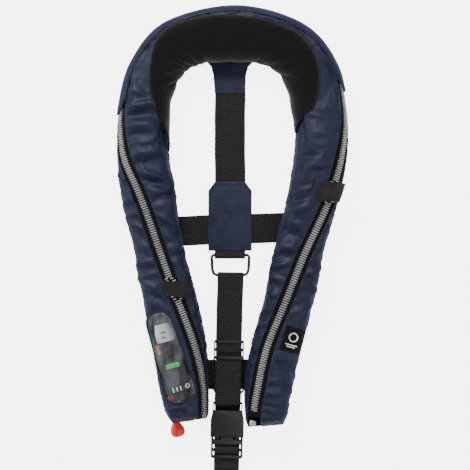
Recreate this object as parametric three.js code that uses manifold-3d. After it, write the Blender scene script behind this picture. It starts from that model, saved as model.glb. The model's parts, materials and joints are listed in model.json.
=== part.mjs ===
// Inflatable life jacket lying flat on its back, front side up.
// Millimetres, +Z up, +Y towards the collar; the origin is under the centre of the back patch.
import * as THREE from 'three';
import { mergeVertices } from 'three/addons/utils/BufferGeometryUtils.js';
import Module from 'manifold-3d';

const wasm = await Module();
wasm.setup();

// ---- driving dimensions -------------------------------------------------------------------

const gap = 0.3;                 // clearance between pieces that touch
const cloth = 1.2;               // thickness of a cover panel
const pouchLow = 5;              // height of the pouch's underside, above the belts
const pouchMid = 23;             // height of the pouch's widest line
const pouchTop = 47;             // height of the pouch's crown
const pouchCorner = 2.6;         // superellipse exponent of the pouch's section
const endHeight = 0.17;          // share of its height that the pouch keeps at its closed ends
const endLength = 0.25;          // stations over which an end closes
const backSeam = 22;             // degrees below the widest line where the back panel begins
const seamGap = 1.4;             // degrees left open at a panel seam
const panelGap = 1.5;            // between a cover panel's edge and the zip's tape

const zipHalf = 9;               // half the width of both tapes
const toothWidth = 3.8;          // one side's row of teeth
const toothHeight = 1.8;
const tapeThick = 0.7;
const zipEnd = 0.27;             // stations between the zip's teeth and the pouch's end
const valleyDepth = 3;           // how far the zip lies below the puffed fabric
const valleySpread = 26;         // degrees
const partedHalf = 2.9;          // extra opening between the teeth at a slider's wedge

const slider = { length: 13, width: 14, plate: 1.3, lift: 1.1, post: 3, postWidth: 2.4, travel: 14 };
const flapThick = 1.2;
const flapArch = 7;              // clear height under a garage flap

const belt = { width: 40, thick: 1.6, low: 1.1 };
const crotch = { width: 34, thick: 1.5, tilt: -1.2 };
const patch = { width: 57, length: 91, sheet: 0.8, chamfer: 9, rise: 12 };
const layerGap = 0.3;
const windowFrame = { x: -76, y: -181.5, width: 43, length: 123, tilt: 15.5, taper: 0.2 };
const label = { x: 81, y: -160, width: 27, length: 33, tilt: -17 };

const inflator = { x: -77, y: -183, z: 27, tilt: 15.3, half: 14.5, low: -11, high: 10 };
const cylinder = { radius: 10.5, neck: 6, top: 50, bottom: -34, seat: 9 };
const cartridge = { radius: 12.3, base: 20.5, length: 24, cap: 8.5 };
const lever = { length: 19.2, half: 3, thick: 4.4, pin: 1.5, x: 2, y: -53, z: -11 };
const toggle = { radius: 10, depth: 6.5, length: 22, cord: 1.2, top: -82.5 };

const oral = { x: 68, y: -150, z: 27, tilt: -13.4, tube: 6, length: 62, flange: 15, cap: 8.5 };
const whistle = { length: 48, width: 15, thick: 9 };

const buckle = { mouth: -288, z: 17, length: 45.5, wide: 43.5, narrow: 38.5, thick: 12, bar: 1.4 };
const channel = { width: 37, height: 7.6, depth: 33 };
const prong = { width: 4.6, height: 6.2, length: 25, spread: 12.6 };
const ladder = { width: 41.5, length: 28, bar: 4, height: 3 };
const glide = { y: -174.5, z: 14.4, width: 39.5, length: 25, bar: 4, height: 2.4 };
const ring = { y: -64.5, x: 0.5, top: 52, bottom: 47.4, height: 26, bar: 2.2 };
const steel = { rod: 1.5, height: 46, width: 19, y: -207.5, z: 4.6, left: -21, right: 17 };

// ---- outline of the horseshoe pouch ---------------------------------------------------------

// Stations run from the bottom of the left lobe, round the neck, to the bottom of the right lobe.
const outerEdge = [
  [-78, -270], [-90, -234], [-101, -172], [-116, -99], [-127, -39], [-143, 29], [-148, 86],
  [-144, 146], [-127, 203], [-83, 252], [8, 273], [94, 250], [138, 200], [153, 135],
  [153, 73], [140, 13], [122, -49], [110, -107], [94, -169], [80, -226], [73, -271],
];
const innerEdge = [
  [-27, -263], [-27, -224], [-30, -168], [-43, -104], [-59, -44], [-70, 25], [-79, 83],
  [-81, 143], [-65, 183], [-39, 200], [3, 204], [42, 200], [69, 182], [83, 140],
  [83, 83], [72, 17], [56, -48], [44, -107], [27, -168], [18, -221], [20, -275],
];
// Angle of the zip round the section: 0 at the outer edge, 90 on the crown, 180 at the inner edge.
const zipLine = [143, 143, 125, 106, 92, 73, 41, 22, 18, 18, 18, 18, 18, 22, 41, 54, 76, 97, 112, 116, 134];
// Station and angle of the fleece collar's free edge.
const collarLine = [[6, 168], [7, 114], [8, 77], [9, 47], [10, 57], [11, 59], [12, 73], [13, 107], [13.6, 163]];

const lastStation = outerEdge.length - 1;
const rad = THREE.MathUtils.degToRad;
const curveThrough = (points) =>
  new THREE.CatmullRomCurve3(points.map(([x, y]) => new THREE.Vector3(x, y, 0)), false, 'catmullrom', 0.5);
const outerCurve = curveThrough(outerEdge);
const innerCurve = curveThrough(innerEdge);
const zipCurve = curveThrough(zipLine.map((angle, station) => [station, angle]));
const collarCurve = curveThrough(collarLine);

const zipAngle = (t) => zipCurve.getPoint(t / lastStation).y;

function collarAngle(t) {
  const last = collarLine.length - 1;
  const first = collarLine[0][0];
  const share = t <= 13 ? (t - first) / last : (last - 1 + (t - 13) / 0.6) / last;
  return collarCurve.getPoint(share).y;
}

// Height and width factors that close the pouch's two ends.
function endShape(t) {
  const away = Math.min(t, lastStation - t) / endLength;
  const closing = away >= 1 ? 1 : Math.sin(away * Math.PI / 2);
  return { height: endHeight + (1 - endHeight) * closing, width: 0.86 + 0.14 * closing };
}

function section(t) {
  const outer = outerCurve.getPoint(t / lastStation);
  const inner = innerCurve.getPoint(t / lastStation);
  const half = outer.clone().sub(inner).multiplyScalar(0.5);
  const shape = endShape(t);
  return {
    middle: outer.add(inner).multiplyScalar(0.5),
    across: half.clone().normalize(),
    width: half.length() * shape.width,
    rise: (pouchTop - pouchMid) * shape.height,
    drop: (pouchMid - pouchLow) * shape.height,
  };
}

// A point of the pouch at station t and angle a (degrees), depth d below its outer surface.
function onPouch(t, a, d = 0) {
  const s = section(t);
  const c = Math.cos(rad(a));
  const u = Math.sin(rad(a));
  const r = (Math.abs(c) ** pouchCorner + Math.abs(u) ** pouchCorner) ** (-1 / pouchCorner);
  const near = (a - zipAngle(t)) / valleySpread;
  const depth = d + valleyDepth * Math.exp(-near * near) * endShape(t).height;
  const height = (u > 0 ? s.rise : s.drop) - depth;
  return s.across.clone().multiplyScalar((s.width - depth) * r * c).add(s.middle)
    .setZ(pouchMid + height * r * u);
}

// Degrees that a distance in millimetres takes up round the section.
function degreesFor(t, a, distance) {
  const step = distance < 0 ? -4 : 4;
  const span = onPouch(t, a).distanceTo(onPouch(t, a + step));
  return step * Math.abs(distance) / span;
}

// Direction along the zip, across it and out of the fabric at station t.
function zipFrame(t) {
  const origin = onPouch(t, zipAngle(t));
  const along = onPouch(t + 0.05, zipAngle(t + 0.05)).sub(onPouch(t - 0.05, zipAngle(t - 0.05))).normalize();
  const side = onPouch(t, zipAngle(t) + 3).sub(onPouch(t, zipAngle(t) - 3));
  const out = along.clone().cross(side).normalize();
  if (out.z < 0) out.negate();
  const across = along.clone().cross(out).normalize();
  return { origin, along, across, out };
}

function mmPerStation(t) {
  const step = 0.05;
  return onPouch(t + step, zipAngle(t + step)).distanceTo(onPouch(t - step, zipAngle(t - step))) / (2 * step);
}

// ---- solids -----------------------------------------------------------------------------------

function closedGeometry(vertices, faces) {
  let volume = 0;
  for (const [a, b, c] of faces) volume += vertices[a].dot(vertices[b].clone().cross(vertices[c]));
  const index = volume < 0 ? faces.map(([a, b, c]) => [a, c, b]) : faces;
  const geometry = new THREE.BufferGeometry();
  geometry.setAttribute('position', new THREE.Float32BufferAttribute(vertices.flatMap((v) => v.toArray()), 3));
  geometry.setIndex(index.flat());
  return geometry;
}

const quad = (a, b, c, d) => [[a, b, c], [a, c, d]];

// A thick sheet between two grids of points.
function sheet(rows, columns, top, bottom) {
  const vertices = [];
  const id = (side, i, j) => (side * rows + i) * columns + j;
  for (const side of [top, bottom]) {
    for (let i = 0; i < rows; i++) {
      for (let j = 0; j < columns; j++) vertices.push(side(i, j));
    }
  }
  const faces = [];
  for (let i = 0; i < rows - 1; i++) {
    for (let j = 0; j < columns - 1; j++) {
      faces.push(...quad(id(0, i, j), id(0, i + 1, j), id(0, i + 1, j + 1), id(0, i, j + 1)));
      faces.push(...quad(id(1, i, j), id(1, i, j + 1), id(1, i + 1, j + 1), id(1, i + 1, j)));
    }
  }
  for (let i = 0; i < rows - 1; i++) {
    faces.push(...quad(id(0, i, 0), id(1, i, 0), id(1, i + 1, 0), id(0, i + 1, 0)));
    const j = columns - 1;
    faces.push(...quad(id(0, i, j), id(0, i + 1, j), id(1, i + 1, j), id(1, i, j)));
  }
  for (let j = 0; j < columns - 1; j++) {
    faces.push(...quad(id(0, 0, j), id(0, 0, j + 1), id(1, 0, j + 1), id(1, 0, j)));
    const i = rows - 1;
    faces.push(...quad(id(0, i, j), id(1, i, j), id(1, i, j + 1), id(0, i, j + 1)));
  }
  return closedGeometry(vertices, faces);
}

// A piece of fabric on the pouch: stations ts, from angle low(t) to high(t), between two depths.
function skin(ts, low, high, columns, outside, inside) {
  const angle = (i, j) => THREE.MathUtils.lerp(low(ts[i]), high(ts[i]), j / (columns - 1));
  const depth = (value, i, j) => (typeof value === 'function' ? value(ts[i], angle(i, j)) : value);
  return sheet(ts.length, columns,
    (i, j) => onPouch(ts[i], angle(i, j), depth(outside, i, j)),
    (i, j) => onPouch(ts[i], angle(i, j), depth(inside, i, j)));
}

// A solid through rings of points, closed by flat ends or, if looped, joined end to start.
function loft(rings, looped = false) {
  const sides = rings[0].length;
  const vertices = rings.flat();
  const faces = [];
  const last = looped ? rings.length : rings.length - 1;
  for (let i = 0; i < last; i++) {
    const next = (i + 1) % rings.length;
    for (let j = 0; j < sides; j++) {
      const k = (j + 1) % sides;
      faces.push(...quad(i * sides + j, next * sides + j, next * sides + k, i * sides + k));
    }
  }
  if (!looped) {
    for (let j = 1; j < sides - 1; j++) {
      faces.push([0, j, j + 1]);
      const end = (rings.length - 1) * sides;
      faces.push([end, end + j + 1, end + j]);
    }
  }
  return closedGeometry(vertices, faces);
}

function solid(geometry) {
  const plain = geometry.clone();
  plain.deleteAttribute('normal');
  plain.deleteAttribute('uv');
  const merged = mergeVertices(plain, 1e-4);
  return new wasm.Manifold(new wasm.Mesh({
    numProp: 3,
    vertProperties: new Float32Array(merged.attributes.position.array),
    triVerts: new Uint32Array(merged.index.array),
  }));
}

function geometryOf(manifold) {
  const mesh = manifold.getMesh();
  const geometry = new THREE.BufferGeometry();
  geometry.setAttribute('position', new THREE.BufferAttribute(new Float32Array(mesh.vertProperties), 3));
  geometry.setIndex([...mesh.triVerts]);
  return geometry;
}

const join = (...pieces) => geometryOf(pieces.map(solid).reduce((a, b) => a.add(b)));
const cut = (piece, ...tools) => geometryOf(tools.map(solid).reduce((a, b) => a.subtract(b), solid(piece)));
const common = (piece, tool) => geometryOf(solid(piece).intersect(solid(tool)));

// A box between two corners.
function block([x0, y0, z0], [x1, y1, z1]) {
  const box = new THREE.BoxGeometry(x1 - x0, y1 - y0, z1 - z0);
  return box.translate((x0 + x1) / 2, (y0 + y1) / 2, (z0 + z1) / 2);
}

function rodAlong(axis, radius, length, sides = 20) {
  const rod = new THREE.CylinderGeometry(radius, radius, length, sides);
  if (axis === 'x') rod.rotateZ(Math.PI / 2);
  if (axis === 'z') rod.rotateX(Math.PI / 2);
  return rod;
}

// A flat plate with the given outline, from height z0 to z1.
function plate(outline, z0, z1) {
  const shape = outline instanceof THREE.Shape ? outline
    : new THREE.Shape(outline.map(([x, y]) => new THREE.Vector2(x, y)));
  const body = new THREE.ExtrudeGeometry(shape, { depth: z1 - z0, bevelEnabled: false, curveSegments: 6 });
  return body.translate(0, 0, z0);
}

function roundedRectangle(width, length, radius) {
  const x = width / 2;
  const y = length / 2;
  const shape = new THREE.Shape();
  shape.moveTo(-x + radius, -y).lineTo(x - radius, -y).quadraticCurveTo(x, -y, x, -y + radius);
  shape.lineTo(x, y - radius).quadraticCurveTo(x, y, x - radius, y);
  shape.lineTo(-x + radius, y).quadraticCurveTo(-x, y, -x, y - radius);
  shape.lineTo(-x, -y + radius).quadraticCurveTo(-x, -y, -x + radius, -y);
  return shape;
}

// Webbing of one width whose middle line follows points [y, z].
function webbing(points, width, thick, x = 0) {
  const line = points.map(([y, z]) => new THREE.Vector2(y, z));
  const sideOf = (sign) => line.map((p, i) => {
    const before = line[Math.max(i - 1, 0)];
    const after = line[Math.min(i + 1, line.length - 1)];
    const first = i > 0 ? p.clone().sub(before).normalize() : after.clone().sub(p).normalize();
    const second = i < line.length - 1 ? after.clone().sub(p).normalize() : first;
    const mean = first.clone().add(second).normalize();
    const stretch = 1 / Math.max(mean.dot(first), 0.5);
    return new THREE.Vector2(-mean.y, mean.x).multiplyScalar(sign * stretch * thick / 2).add(p);
  });
  const outline = [...sideOf(1), ...sideOf(-1).reverse()];
  const body = new THREE.ExtrudeGeometry(new THREE.Shape(outline), { depth: width, bevelEnabled: false });
  // The outline's first axis becomes Y, its second Z, and the extrusion runs along X.
  const turn = new THREE.Matrix4().makeBasis(
    new THREE.Vector3(0, 1, 0), new THREE.Vector3(0, 0, 1), new THREE.Vector3(1, 0, 0));
  return body.applyMatrix4(turn).translate(x - width / 2, 0, 0);
}

// Points of an arc in the y-z plane, for webbing that goes round a bar.
function turnRound(y, z, radius, from, to, steps = 6) {
  return Array.from({ length: steps + 1 }, (_, i) => {
    const a = rad(THREE.MathUtils.lerp(from, to, i / steps));
    return [y + radius * Math.cos(a), z + radius * Math.sin(a)];
  });
}

// A closed ring of round bar through points [x, y, z].
function roundRing(points, radius, steps, sides = 8) {
  const path = new THREE.CatmullRomCurve3(points.map((p) => new THREE.Vector3(...p)), true, 'centripetal');
  const rings = [];
  for (let i = 0; i < steps; i++) {
    const centre = path.getPointAt(i / steps);
    const along = path.getTangentAt(i / steps);
    const up = new THREE.Vector3(0, 0, 1);
    const side = along.clone().cross(up).normalize();
    const top = side.clone().cross(along).normalize();
    rings.push(Array.from({ length: sides }, (_, k) => {
      const a = 2 * Math.PI * k / sides;
      return centre.clone().addScaledVector(side, radius * Math.cos(a)).addScaledVector(top, radius * Math.sin(a));
    }));
  }
  return loft(rings, true);
}

// The geometry mirrored in X, with its faces turned round to face out again.
function mirrored(geometry) {
  const plain = mergeVertices(geometry.deleteAttribute('normal').deleteAttribute('uv')).scale(-1, 1, 1);
  const index = [...plain.index.array];
  for (let i = 0; i < index.length; i += 3) [index[i], index[i + 1]] = [index[i + 1], index[i]];
  plain.setIndex(index);
  return plain;
}

// A turned piece along Y: profile points [radius, y].
function turned(profile, sides = 24) {
  return new THREE.LatheGeometry(profile.map(([r, y]) => new THREE.Vector2(r, y)), sides);
}

const range = (from, to, count) =>
  Array.from({ length: count }, (_, i) => from + (to - from) * i / (count - 1));

// ---- materials and assembly ---------------------------------------------------------------------

const material = (color, roughness, metalness = 0) => new THREE.MeshStandardMaterial({ color, roughness, metalness });
const navy = material(0x23284a, 0.55);
const fleece = material(0x0b0b0d, 1);
const web = material(0x121213, 0.85);
const tapeCloth = material(0x0d0d10, 0.9);
const toothPlastic = material(0xb4b6b8, 0.4, 0.3);
const charcoal = material(0x242223, 0.85);
const clear = material(0xc8cdd2, 0.1);
const blackPlastic = material(0x141415, 0.45);
const greyPlastic = material(0xb9bec2, 0.4);
const bladderCloth = material(0xd8731c, 0.5);
const red = material(0xe8372c, 0.35);
const green = material(0x2fae3c, 0.4);
const bareSteel = material(0xa7a9ac, 0.25, 1);
const rubber = material(0x1a1a1c, 0.8);
const whistlePlastic = material(0xe0702a, 0.4);

const jacket = new THREE.Group();

function add(parent, name, geometry, look) {
  const mesh = new THREE.Mesh(geometry, look);
  mesh.name = name;
  parent.add(mesh);
  return mesh;
}

// ---- cover, zip and bladder -----------------------------------------------------------------------

const garage = {
  left: { t: 3.13, outward: 12, inward: 23, half: 10.5 },
  right: { t: 14.72, outward: 10, inward: 21, half: 13 },
};

// Stations of a strip along the zip, closer together where it parts for a slider.
function zipStations() {
  const ts = range(0.04, lastStation - zipEnd, 46);
  for (const { t } of Object.values(garage)) {
    const unit = 1 / mmPerStation(t);
    for (const mm of [-16, -13, -7, 0, 7, 13, 16]) ts.push(t + mm * unit);
  }
  return ts.sort((a, b) => a - b).filter((t, i, all) => i === 0 || t - all[i - 1] > 0.05);
}

// Half the opening between the two rows of teeth.
function parting(t) {
  const opening = Object.values(garage).map((place) => {
    const away = Math.abs(t - place.t) * mmPerStation(place.t);
    return THREE.MathUtils.clamp((16 - away) / 3, 0, 1) * partedHalf;
  });
  return gap + Math.max(...opening);
}

// Angle at a distance from the zip's middle line; whatever lies on the tapes parts at the sliders.
const zipEdge = (sign, distance) => (t) => {
  const reach = distance + (distance < zipHalf ? parting(t) : 0);
  return zipAngle(t) + degreesFor(t, zipAngle(t), sign * reach);
};

// A prism standing on the window's outline, with a margin round it. The outline narrows towards its top.
function windowPrism(margin) {
  const { x, y, width, length, tilt, taper } = windowFrame;
  const shape = roundedRectangle(width, length, width * 0.38);
  const outline = shape.getPoints(6).map((p) => {
    const narrow = 1 - taper * (p.y / length + 0.5);
    const away = p.clone().normalize().multiplyScalar(margin);
    return [(p.x + width / 2) * narrow - width / 2 + away.x, p.y + away.y];
  });
  return plate(outline.slice(0, -1), 25, 70).rotateZ(rad(tilt)).translate(x, y, 0);
}

const coverStations = [0, 0.08, 0.17, ...range(0.3, lastStation - 0.3, 42),
  lastStation - 0.17, lastStation - 0.08, lastStation];

function buildCover() {
  const along = coverStations;
  const left = along.filter((t) => t < 9.7).concat(lastStation / 2 - 0.01);
  const right = [lastStation / 2 + 0.01].concat(along.filter((t) => t > 10.3));
  const low = () => -backSeam + seamGap;
  const cordHole = toLobe(rodAlong('y', toggle.cord + 2.2, 26, 10)
    .translate(lever.x - lever.length, toggle.top + 1, lever.z));

  add(jacket, 'back_panel', cut(skin(along, () => backSeam - 180, () => -backSeam, 10, 0, cloth), cordHole), navy);
  const high = () => 180 + backSeam - seamGap;
  add(jacket, 'front_flap', skin(along, zipEdge(1, zipHalf + panelGap), high, 13, 0, cloth), navy);
  const lobe = skin(left, low, zipEdge(-1, zipHalf + panelGap), 10, 0, cloth);
  add(jacket, 'left_lobe_panel', cut(lobe, windowPrism(0)), navy);
  add(jacket, 'right_lobe_panel', skin(right, low, zipEdge(-1, zipHalf + panelGap), 8, 0, cloth), navy);

  const pane = skin(range(0.6, 3.2, 9), () => 25, () => 140, 12, 0.1, 0.8);
  add(jacket, 'window', common(pane, windowPrism(-0.5)), clear);
}

function buildCollar() {
  const ts = [6, ...coverStations.filter((t) => t > 6.1 && t < 13.5), 13.35, 13.6].sort((a, b) => a - b);
  add(jacket, 'collar_lining', skin(ts, collarAngle, () => 200, 12, -4.4, -2.2), fleece);
}

function buildZip() {
  const ts = zipStations();
  for (const [name, sign] of [['inner', 1], ['outer', -1]]) {
    add(jacket, `zip_tape_${name}`,
      skin(ts, zipEdge(sign, 0), zipEdge(sign, zipHalf), 3, gap, gap + tapeThick), tapeCloth);
    add(jacket, `zip_teeth_${name}`,
      skin(ts, zipEdge(sign, 0), zipEdge(sign, toothWidth), 2, -toothHeight, 0), toothPlastic);
  }
}

// Places a piece made in a zip's own directions (X across, Y along, Z out) at station t.
function onZip(geometry, t) {
  const { origin, along, across, out } = zipFrame(t);
  return geometry.applyMatrix4(new THREE.Matrix4().makeBasis(across, along, out).setPosition(origin));
}

function buildSlider(side) {
  const place = garage[side];
  const { length, width, plate: wall, lift, post, postWidth, travel } = slider;
  const top = toothHeight + lift;
  const bottom = -(gap + tapeThick + lift);
  const near = -travel / 2 - post / 2;
  const body = join(
    plate(roundedRectangle(width, length, 3), top, top + wall).translate(0, near + length / 2 - 1.5, 0),
    plate(roundedRectangle(width, length, 3), bottom - wall, bottom).translate(0, near + length / 2 - 1.5, 0),
    block([-postWidth / 2, near - 0.5, bottom - 0.2], [postWidth / 2, near + post - 0.5, top + 0.2]),
    rodAlong('x', 1.4, 5, 10).translate(0, near + length / 2 - 1.5, top + wall + 0.4));
  add(jacket, `zip_slider_${side}`, onZip(body, place.t), toothPlastic);
}

// A rounded fabric flap over a slider, sewn down on the outer side of the zip.
function buildFlap(side) {
  const { t, outward, inward, half } = garage[side];
  const unit = 1 / mmPerStation(t);
  const ts = range(t - half * unit, t + half * unit, 7);
  const reach = (station) => {
    const share = Math.min(Math.abs(station - t) / (half * unit), 1);
    return inward - 8 * (1 - Math.sqrt(1 - 0.96 * share * share));
  };
  const low = (station) => zipAngle(station) + degreesFor(station, zipAngle(station), -outward);
  const high = (station) => zipAngle(station) + degreesFor(station, zipAngle(station), reach(station));
  const arch = (station, a) => {
    const share = (a - zipAngle(station)) / degreesFor(station, zipAngle(station), 13.5);
    return -gap - flapArch * Math.max(0, 1 - share ** 4) ** 0.8;
  };
  const flap = skin(ts, low, high, 15, (s, a) => arch(s, a) - flapThick, arch);
  add(jacket, `garage_flap_${side}`, flap, charcoal);
}

function buildZipEnds() {
  const box = onZip(block([-4.2, -4, -0.4], [4.2, 4, 3.4]), lastStation - zipEnd / 2);
  add(jacket, 'zip_end_box', box, toothPlastic);
}

// The folded bladder fills the pouch, and lies low under the inflator and under the oral tube.
function buildBladder() {
  const sides = 18;
  const slope = 0.02;            // keeps the points of a flattened ring off one plane
  const pockets = { left: { top: 13.6, from: 3.35, to: 3.85 }, right: { top: 17.4, from: 16.7, to: 16.2 } };
  const rings = range(1.18, 19.4, 36).map((t) => {
    const pocket = t < 10 ? pockets.left : pockets.right;
    const fill = THREE.MathUtils.clamp((t - pocket.from) / (pocket.to - pocket.from), 0, 1);
    const high = THREE.MathUtils.lerp(pocket.top, 36, fill);
    return Array.from({ length: sides }, (_, k) => {
      const point = onPouch(t, 360 * k / sides, cloth + 3 + 3 * (1 - fill));
      return point.setZ(Math.min(point.z, high - slope * k));
    });
  });
  add(jacket, 'bladder', loft(rings), bladderCloth);
}

// A plain patch sewn on the outer side of the right lobe.
function buildLabel() {
  const { x, y, width, length, tilt } = label;
  const strip = skin(range(16.9, 18.5, 8), () => 10, () => 80, 10, -1, -gap);
  const prism = plate(roundedRectangle(width, length, 1.5), 25, 70).rotateZ(rad(tilt)).translate(x, y, 0);
  add(jacket, 'label', common(strip, prism), web);
}

// ---- inflator in the left lobe ----------------------------------------------------------------------

function toLobe(geometry) {
  return geometry.rotateZ(rad(inflator.tilt)).translate(inflator.x, inflator.y, inflator.z);
}

function buildInflator() {
  const { half, low, high } = inflator;
  const place = new THREE.Group();
  place.position.set(inflator.x, inflator.y, inflator.z);
  place.rotation.z = rad(inflator.tilt);
  jacket.add(place);

  const axis = half + cylinder.radius + 0.6;
  const socket = cylinder.neck + 0.4;
  const outline = new THREE.Shape();
  outline.moveTo(-half, cartridge.base - gap).lineTo(-half, -24).quadraticCurveTo(-half + 1, -34, -9, -46);
  outline.lineTo(11, -46).lineTo(half, -40).lineTo(half, cartridge.base - gap);
  const arm = new THREE.Shape();
  arm.moveTo(0, -44).lineTo(axis - 2, -44).quadraticCurveTo(axis + 8, -42, axis + 8, -36);
  arm.lineTo(axis + 7, cylinder.bottom + 9).lineTo(0, cylinder.bottom + 9);
  const body = cut(
    join(plate(outline, low, high), plate(arm, low + 2, 7), block([-4, -59, -8.5], [9, -45, 5])),
    rodAlong('y', cartridge.radius * 0.55 + 0.4, 20).translate(0, cartridge.base, 0),
    rodAlong('y', socket, 14).translate(axis, cylinder.bottom + 7, 0),
    rodAlong('y', cylinder.radius + 0.8, 40).translate(axis, cylinder.bottom + 32, 0),
    rodAlong('z', lever.pin + gap, 18, 12).translate(lever.x, lever.y, -4),
    block([-9.5, -17.5, high - 2.6], [9.5, -7.3, high + 1]),
  );
  add(place, 'inflator_body', body, blackPlastic);

  add(place, 'status_indicator', block([-9, -14.2, high - 2.2], [9, -8, high - 0.2]), green);

  const auto = turned([[0, -7], [cartridge.radius * 0.55, -7], [cartridge.radius * 0.55, 0.2],
    [cartridge.radius, 0.2], [cartridge.radius, 12], [cartridge.radius - 2.4, cartridge.length], [0, cartridge.length]]);
  add(place, 'auto_cartridge', auto.translate(0, cartridge.base, 0), greyPlastic);

  const cap = turned([[0, 0], [cartridge.cap, 0], [cartridge.cap, 4], [cartridge.cap * 0.8, 8.2],
    [cartridge.cap * 0.4, 10.4], [0, 11]], 20);
  add(place, 'cartridge_cap', cap.translate(0, cartridge.base + cartridge.length + gap, 0), blackPlastic);

  const r = cylinder.radius;
  const bottle = turned([[0, cylinder.bottom + 1.5], [cylinder.neck, cylinder.bottom + 1.5],
    [cylinder.neck, cylinder.bottom + 12.5], [r * 0.78, cylinder.bottom + 16], [r, cylinder.bottom + 22],
    [r, cylinder.top - 8], [r * 0.8, cylinder.top - 2.4], [r * 0.45, cylinder.top - 0.4], [0, cylinder.top]]);
  add(place, 'co2_cylinder', bottle.translate(axis, 0, 0), bareSteel);

  const seal = rodAlong('z', 12, 1.2, 20).translate(0, -6, low - 1.1);
  add(place, 'manifold_gasket', seal, rubber);

  buildLever(place);
  buildToggle(place);
}

function buildLever(place) {
  const { x, y, z, length, half, thick, pin } = lever;
  const arm = new THREE.Shape();
  arm.absarc(0, 0, half + 1.6, -Math.PI / 2, Math.PI / 2, false);
  arm.lineTo(-length, half).absarc(-length, 0, half, Math.PI / 2, 3 * Math.PI / 2, false);
  const body = cut(plate(arm, z - thick / 2, z + thick / 2), rodAlong('z', pin + gap, 12, 12).translate(0, 0, z));
  add(place, 'firing_lever', body.translate(x, y, 0), red);
  const bottom = z - thick / 2;
  add(place, 'lever_pin', rodAlong('z', pin, 12, 12).translate(x, y, bottom + 6), bareSteel);
}

function buildToggle(place) {
  const { radius, depth, length, cord, top } = toggle;
  const x = lever.x - lever.length;
  const start = lever.y - lever.half - gap;
  const line = rodAlong('y', cord, start - top - gap, 8).translate(x, (start + top + gap) / 2, lever.z);
  add(place, 'pull_lanyard', line, red);
  const bead = turned([[0, 0], [0.28, 0.02], [0.5, 0.12], [0.82, 0.35], [1, 0.62], [0.9, 0.84], [0.55, 0.97], [0, 1]]
    .map(([r, y]) => [r * radius, -y * length]).reverse(), 20).scale(1, 1, depth / radius);
  add(place, 'pull_toggle', bead.translate(x, top, lever.z), red);
}

// ---- oral inflation tube and whistle in the right lobe ------------------------------------------------

function buildOralTube() {
  const place = new THREE.Group();
  place.position.set(oral.x, oral.y, oral.z);
  place.rotation.z = rad(oral.tilt);
  jacket.add(place);
  const { tube, length, flange, cap } = oral;
  const base = -9;
  const path = new THREE.CatmullRomCurve3([[0, -length / 2, base + 1], [0, -length / 2, -3],
    [0, -length / 2 + 4, 0], [0, -length / 2 + 12, 0], [0, length / 2, 0]].map((p) => new THREE.Vector3(...p)));
  const circle = new THREE.Shape(range(0, 330, 12).map((a) =>
    new THREE.Vector2(tube * Math.cos(rad(a)), tube * Math.sin(rad(a)))));
  const pipe = new THREE.ExtrudeGeometry(circle, { steps: 16, extrudePath: path, bevelEnabled: false });
  const foot = rodAlong('z', flange, 1.6, 24).translate(0, -length / 2, base + 0.8);
  add(place, 'oral_tube', join(pipe, foot), blackPlastic);
  const lid = cut(rodAlong('y', cap, 16), rodAlong('y', tube + 0.4, 11).translate(0, -3, 0));
  add(place, 'oral_tube_cap', lid.translate(0, length / 2 + 3.5, 0), red);
  const { length: long, width, thick } = whistle;
  const body = join(block([0, 0, 0], [width, long, thick]), rodAlong('y', thick * 0.45, 8, 12)
    .translate(width / 2, -3, thick / 2));
  add(place, 'whistle', body.translate(tube + 3, -14, base + 0.3), whistlePlastic);
}

// ---- belts, back patch and ring -----------------------------------------------------------------------

// A straight run of belt between two plan points, at height z.
function beltRun([x0, y0], [x1, y1], z) {
  const length = Math.hypot(x1 - x0, y1 - y0);
  const run = new THREE.BoxGeometry(length, belt.width - 1, belt.thick);
  return run.rotateZ(Math.atan2(y1 - y0, x1 - x0)).translate((x0 + x1) / 2, (y0 + y1) / 2, z + belt.thick / 2);
}

// Belt whose middle line follows points [distance, z], leading away from x on one side (sign).
function beltAlongX(points, x, y, sign) {
  return webbing(points, belt.width - 1, belt.thick).rotateZ(-Math.PI / 2 * sign).translate(x, y, 0);
}

function buildWaistBelt() {
  const ground = belt.low + belt.thick / 2;
  const over = ground + belt.thick + layerGap;
  const folded = belt.low + belt.thick - 0.05;
  const edge = patch.width / 2;
  const loop = turnRound(6, steel.z, steel.rod + gap + belt.thick / 2, 270, 450, 8);
  const stub = [[-4, ground], [2, ground], ...loop, [1, steel.z + 2.4], [-4, steel.z + 1.6]];
  const pieces = [
    beltAlongX([[-edge - 1, over], [edge + 1, over]], 0, -16, 1),
    beltAlongX([[0, over], [7, ground], [12, ground]], edge + 0.5, -16, 1),
    beltAlongX([[0, over], [7, ground], [12, ground]], -edge - 0.5, -16, -1),
    beltRun([-edge - 10, -16.5], [-116, -25], belt.low), beltRun([edge + 10, -16], [114, -16], belt.low),
    beltRun([-98, -6], [-62, steel.y - 19], folded), beltRun([96, 3], [50, steel.y - 19], folded),
    beltRun([-82, steel.y], [steel.left - 8, steel.y], belt.low),
    beltRun([69, steel.y], [steel.right + 8, steel.y], belt.low),
    beltAlongX(stub, steel.left - 6, steel.y, 1), beltAlongX(stub, steel.right + 6, steel.y, -1),
  ];
  add(jacket, 'waist_belt', join(...pieces), web);
}

// Loops on the pouch's back that hold the belt as it runs down each lobe.
function buildBeltLoops() {
  for (const [side, x, tilt] of [['left', -82.7, 99.3], ['right', 75.4, 78.7]]) {
    const half = belt.width / 2 + 1;
    const top = pouchLow - gap;
    const u = [[-half - 1.2, top], [-half - 1.2, 0.6], [half + 1.2, 0.6], [half + 1.2, top]];
    const band = webbing(u, 36, 1).rotateZ(rad(tilt)).translate(x, -100, 0);
    add(jacket, `belt_loop_${side}`, band, navy);
  }
}

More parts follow.
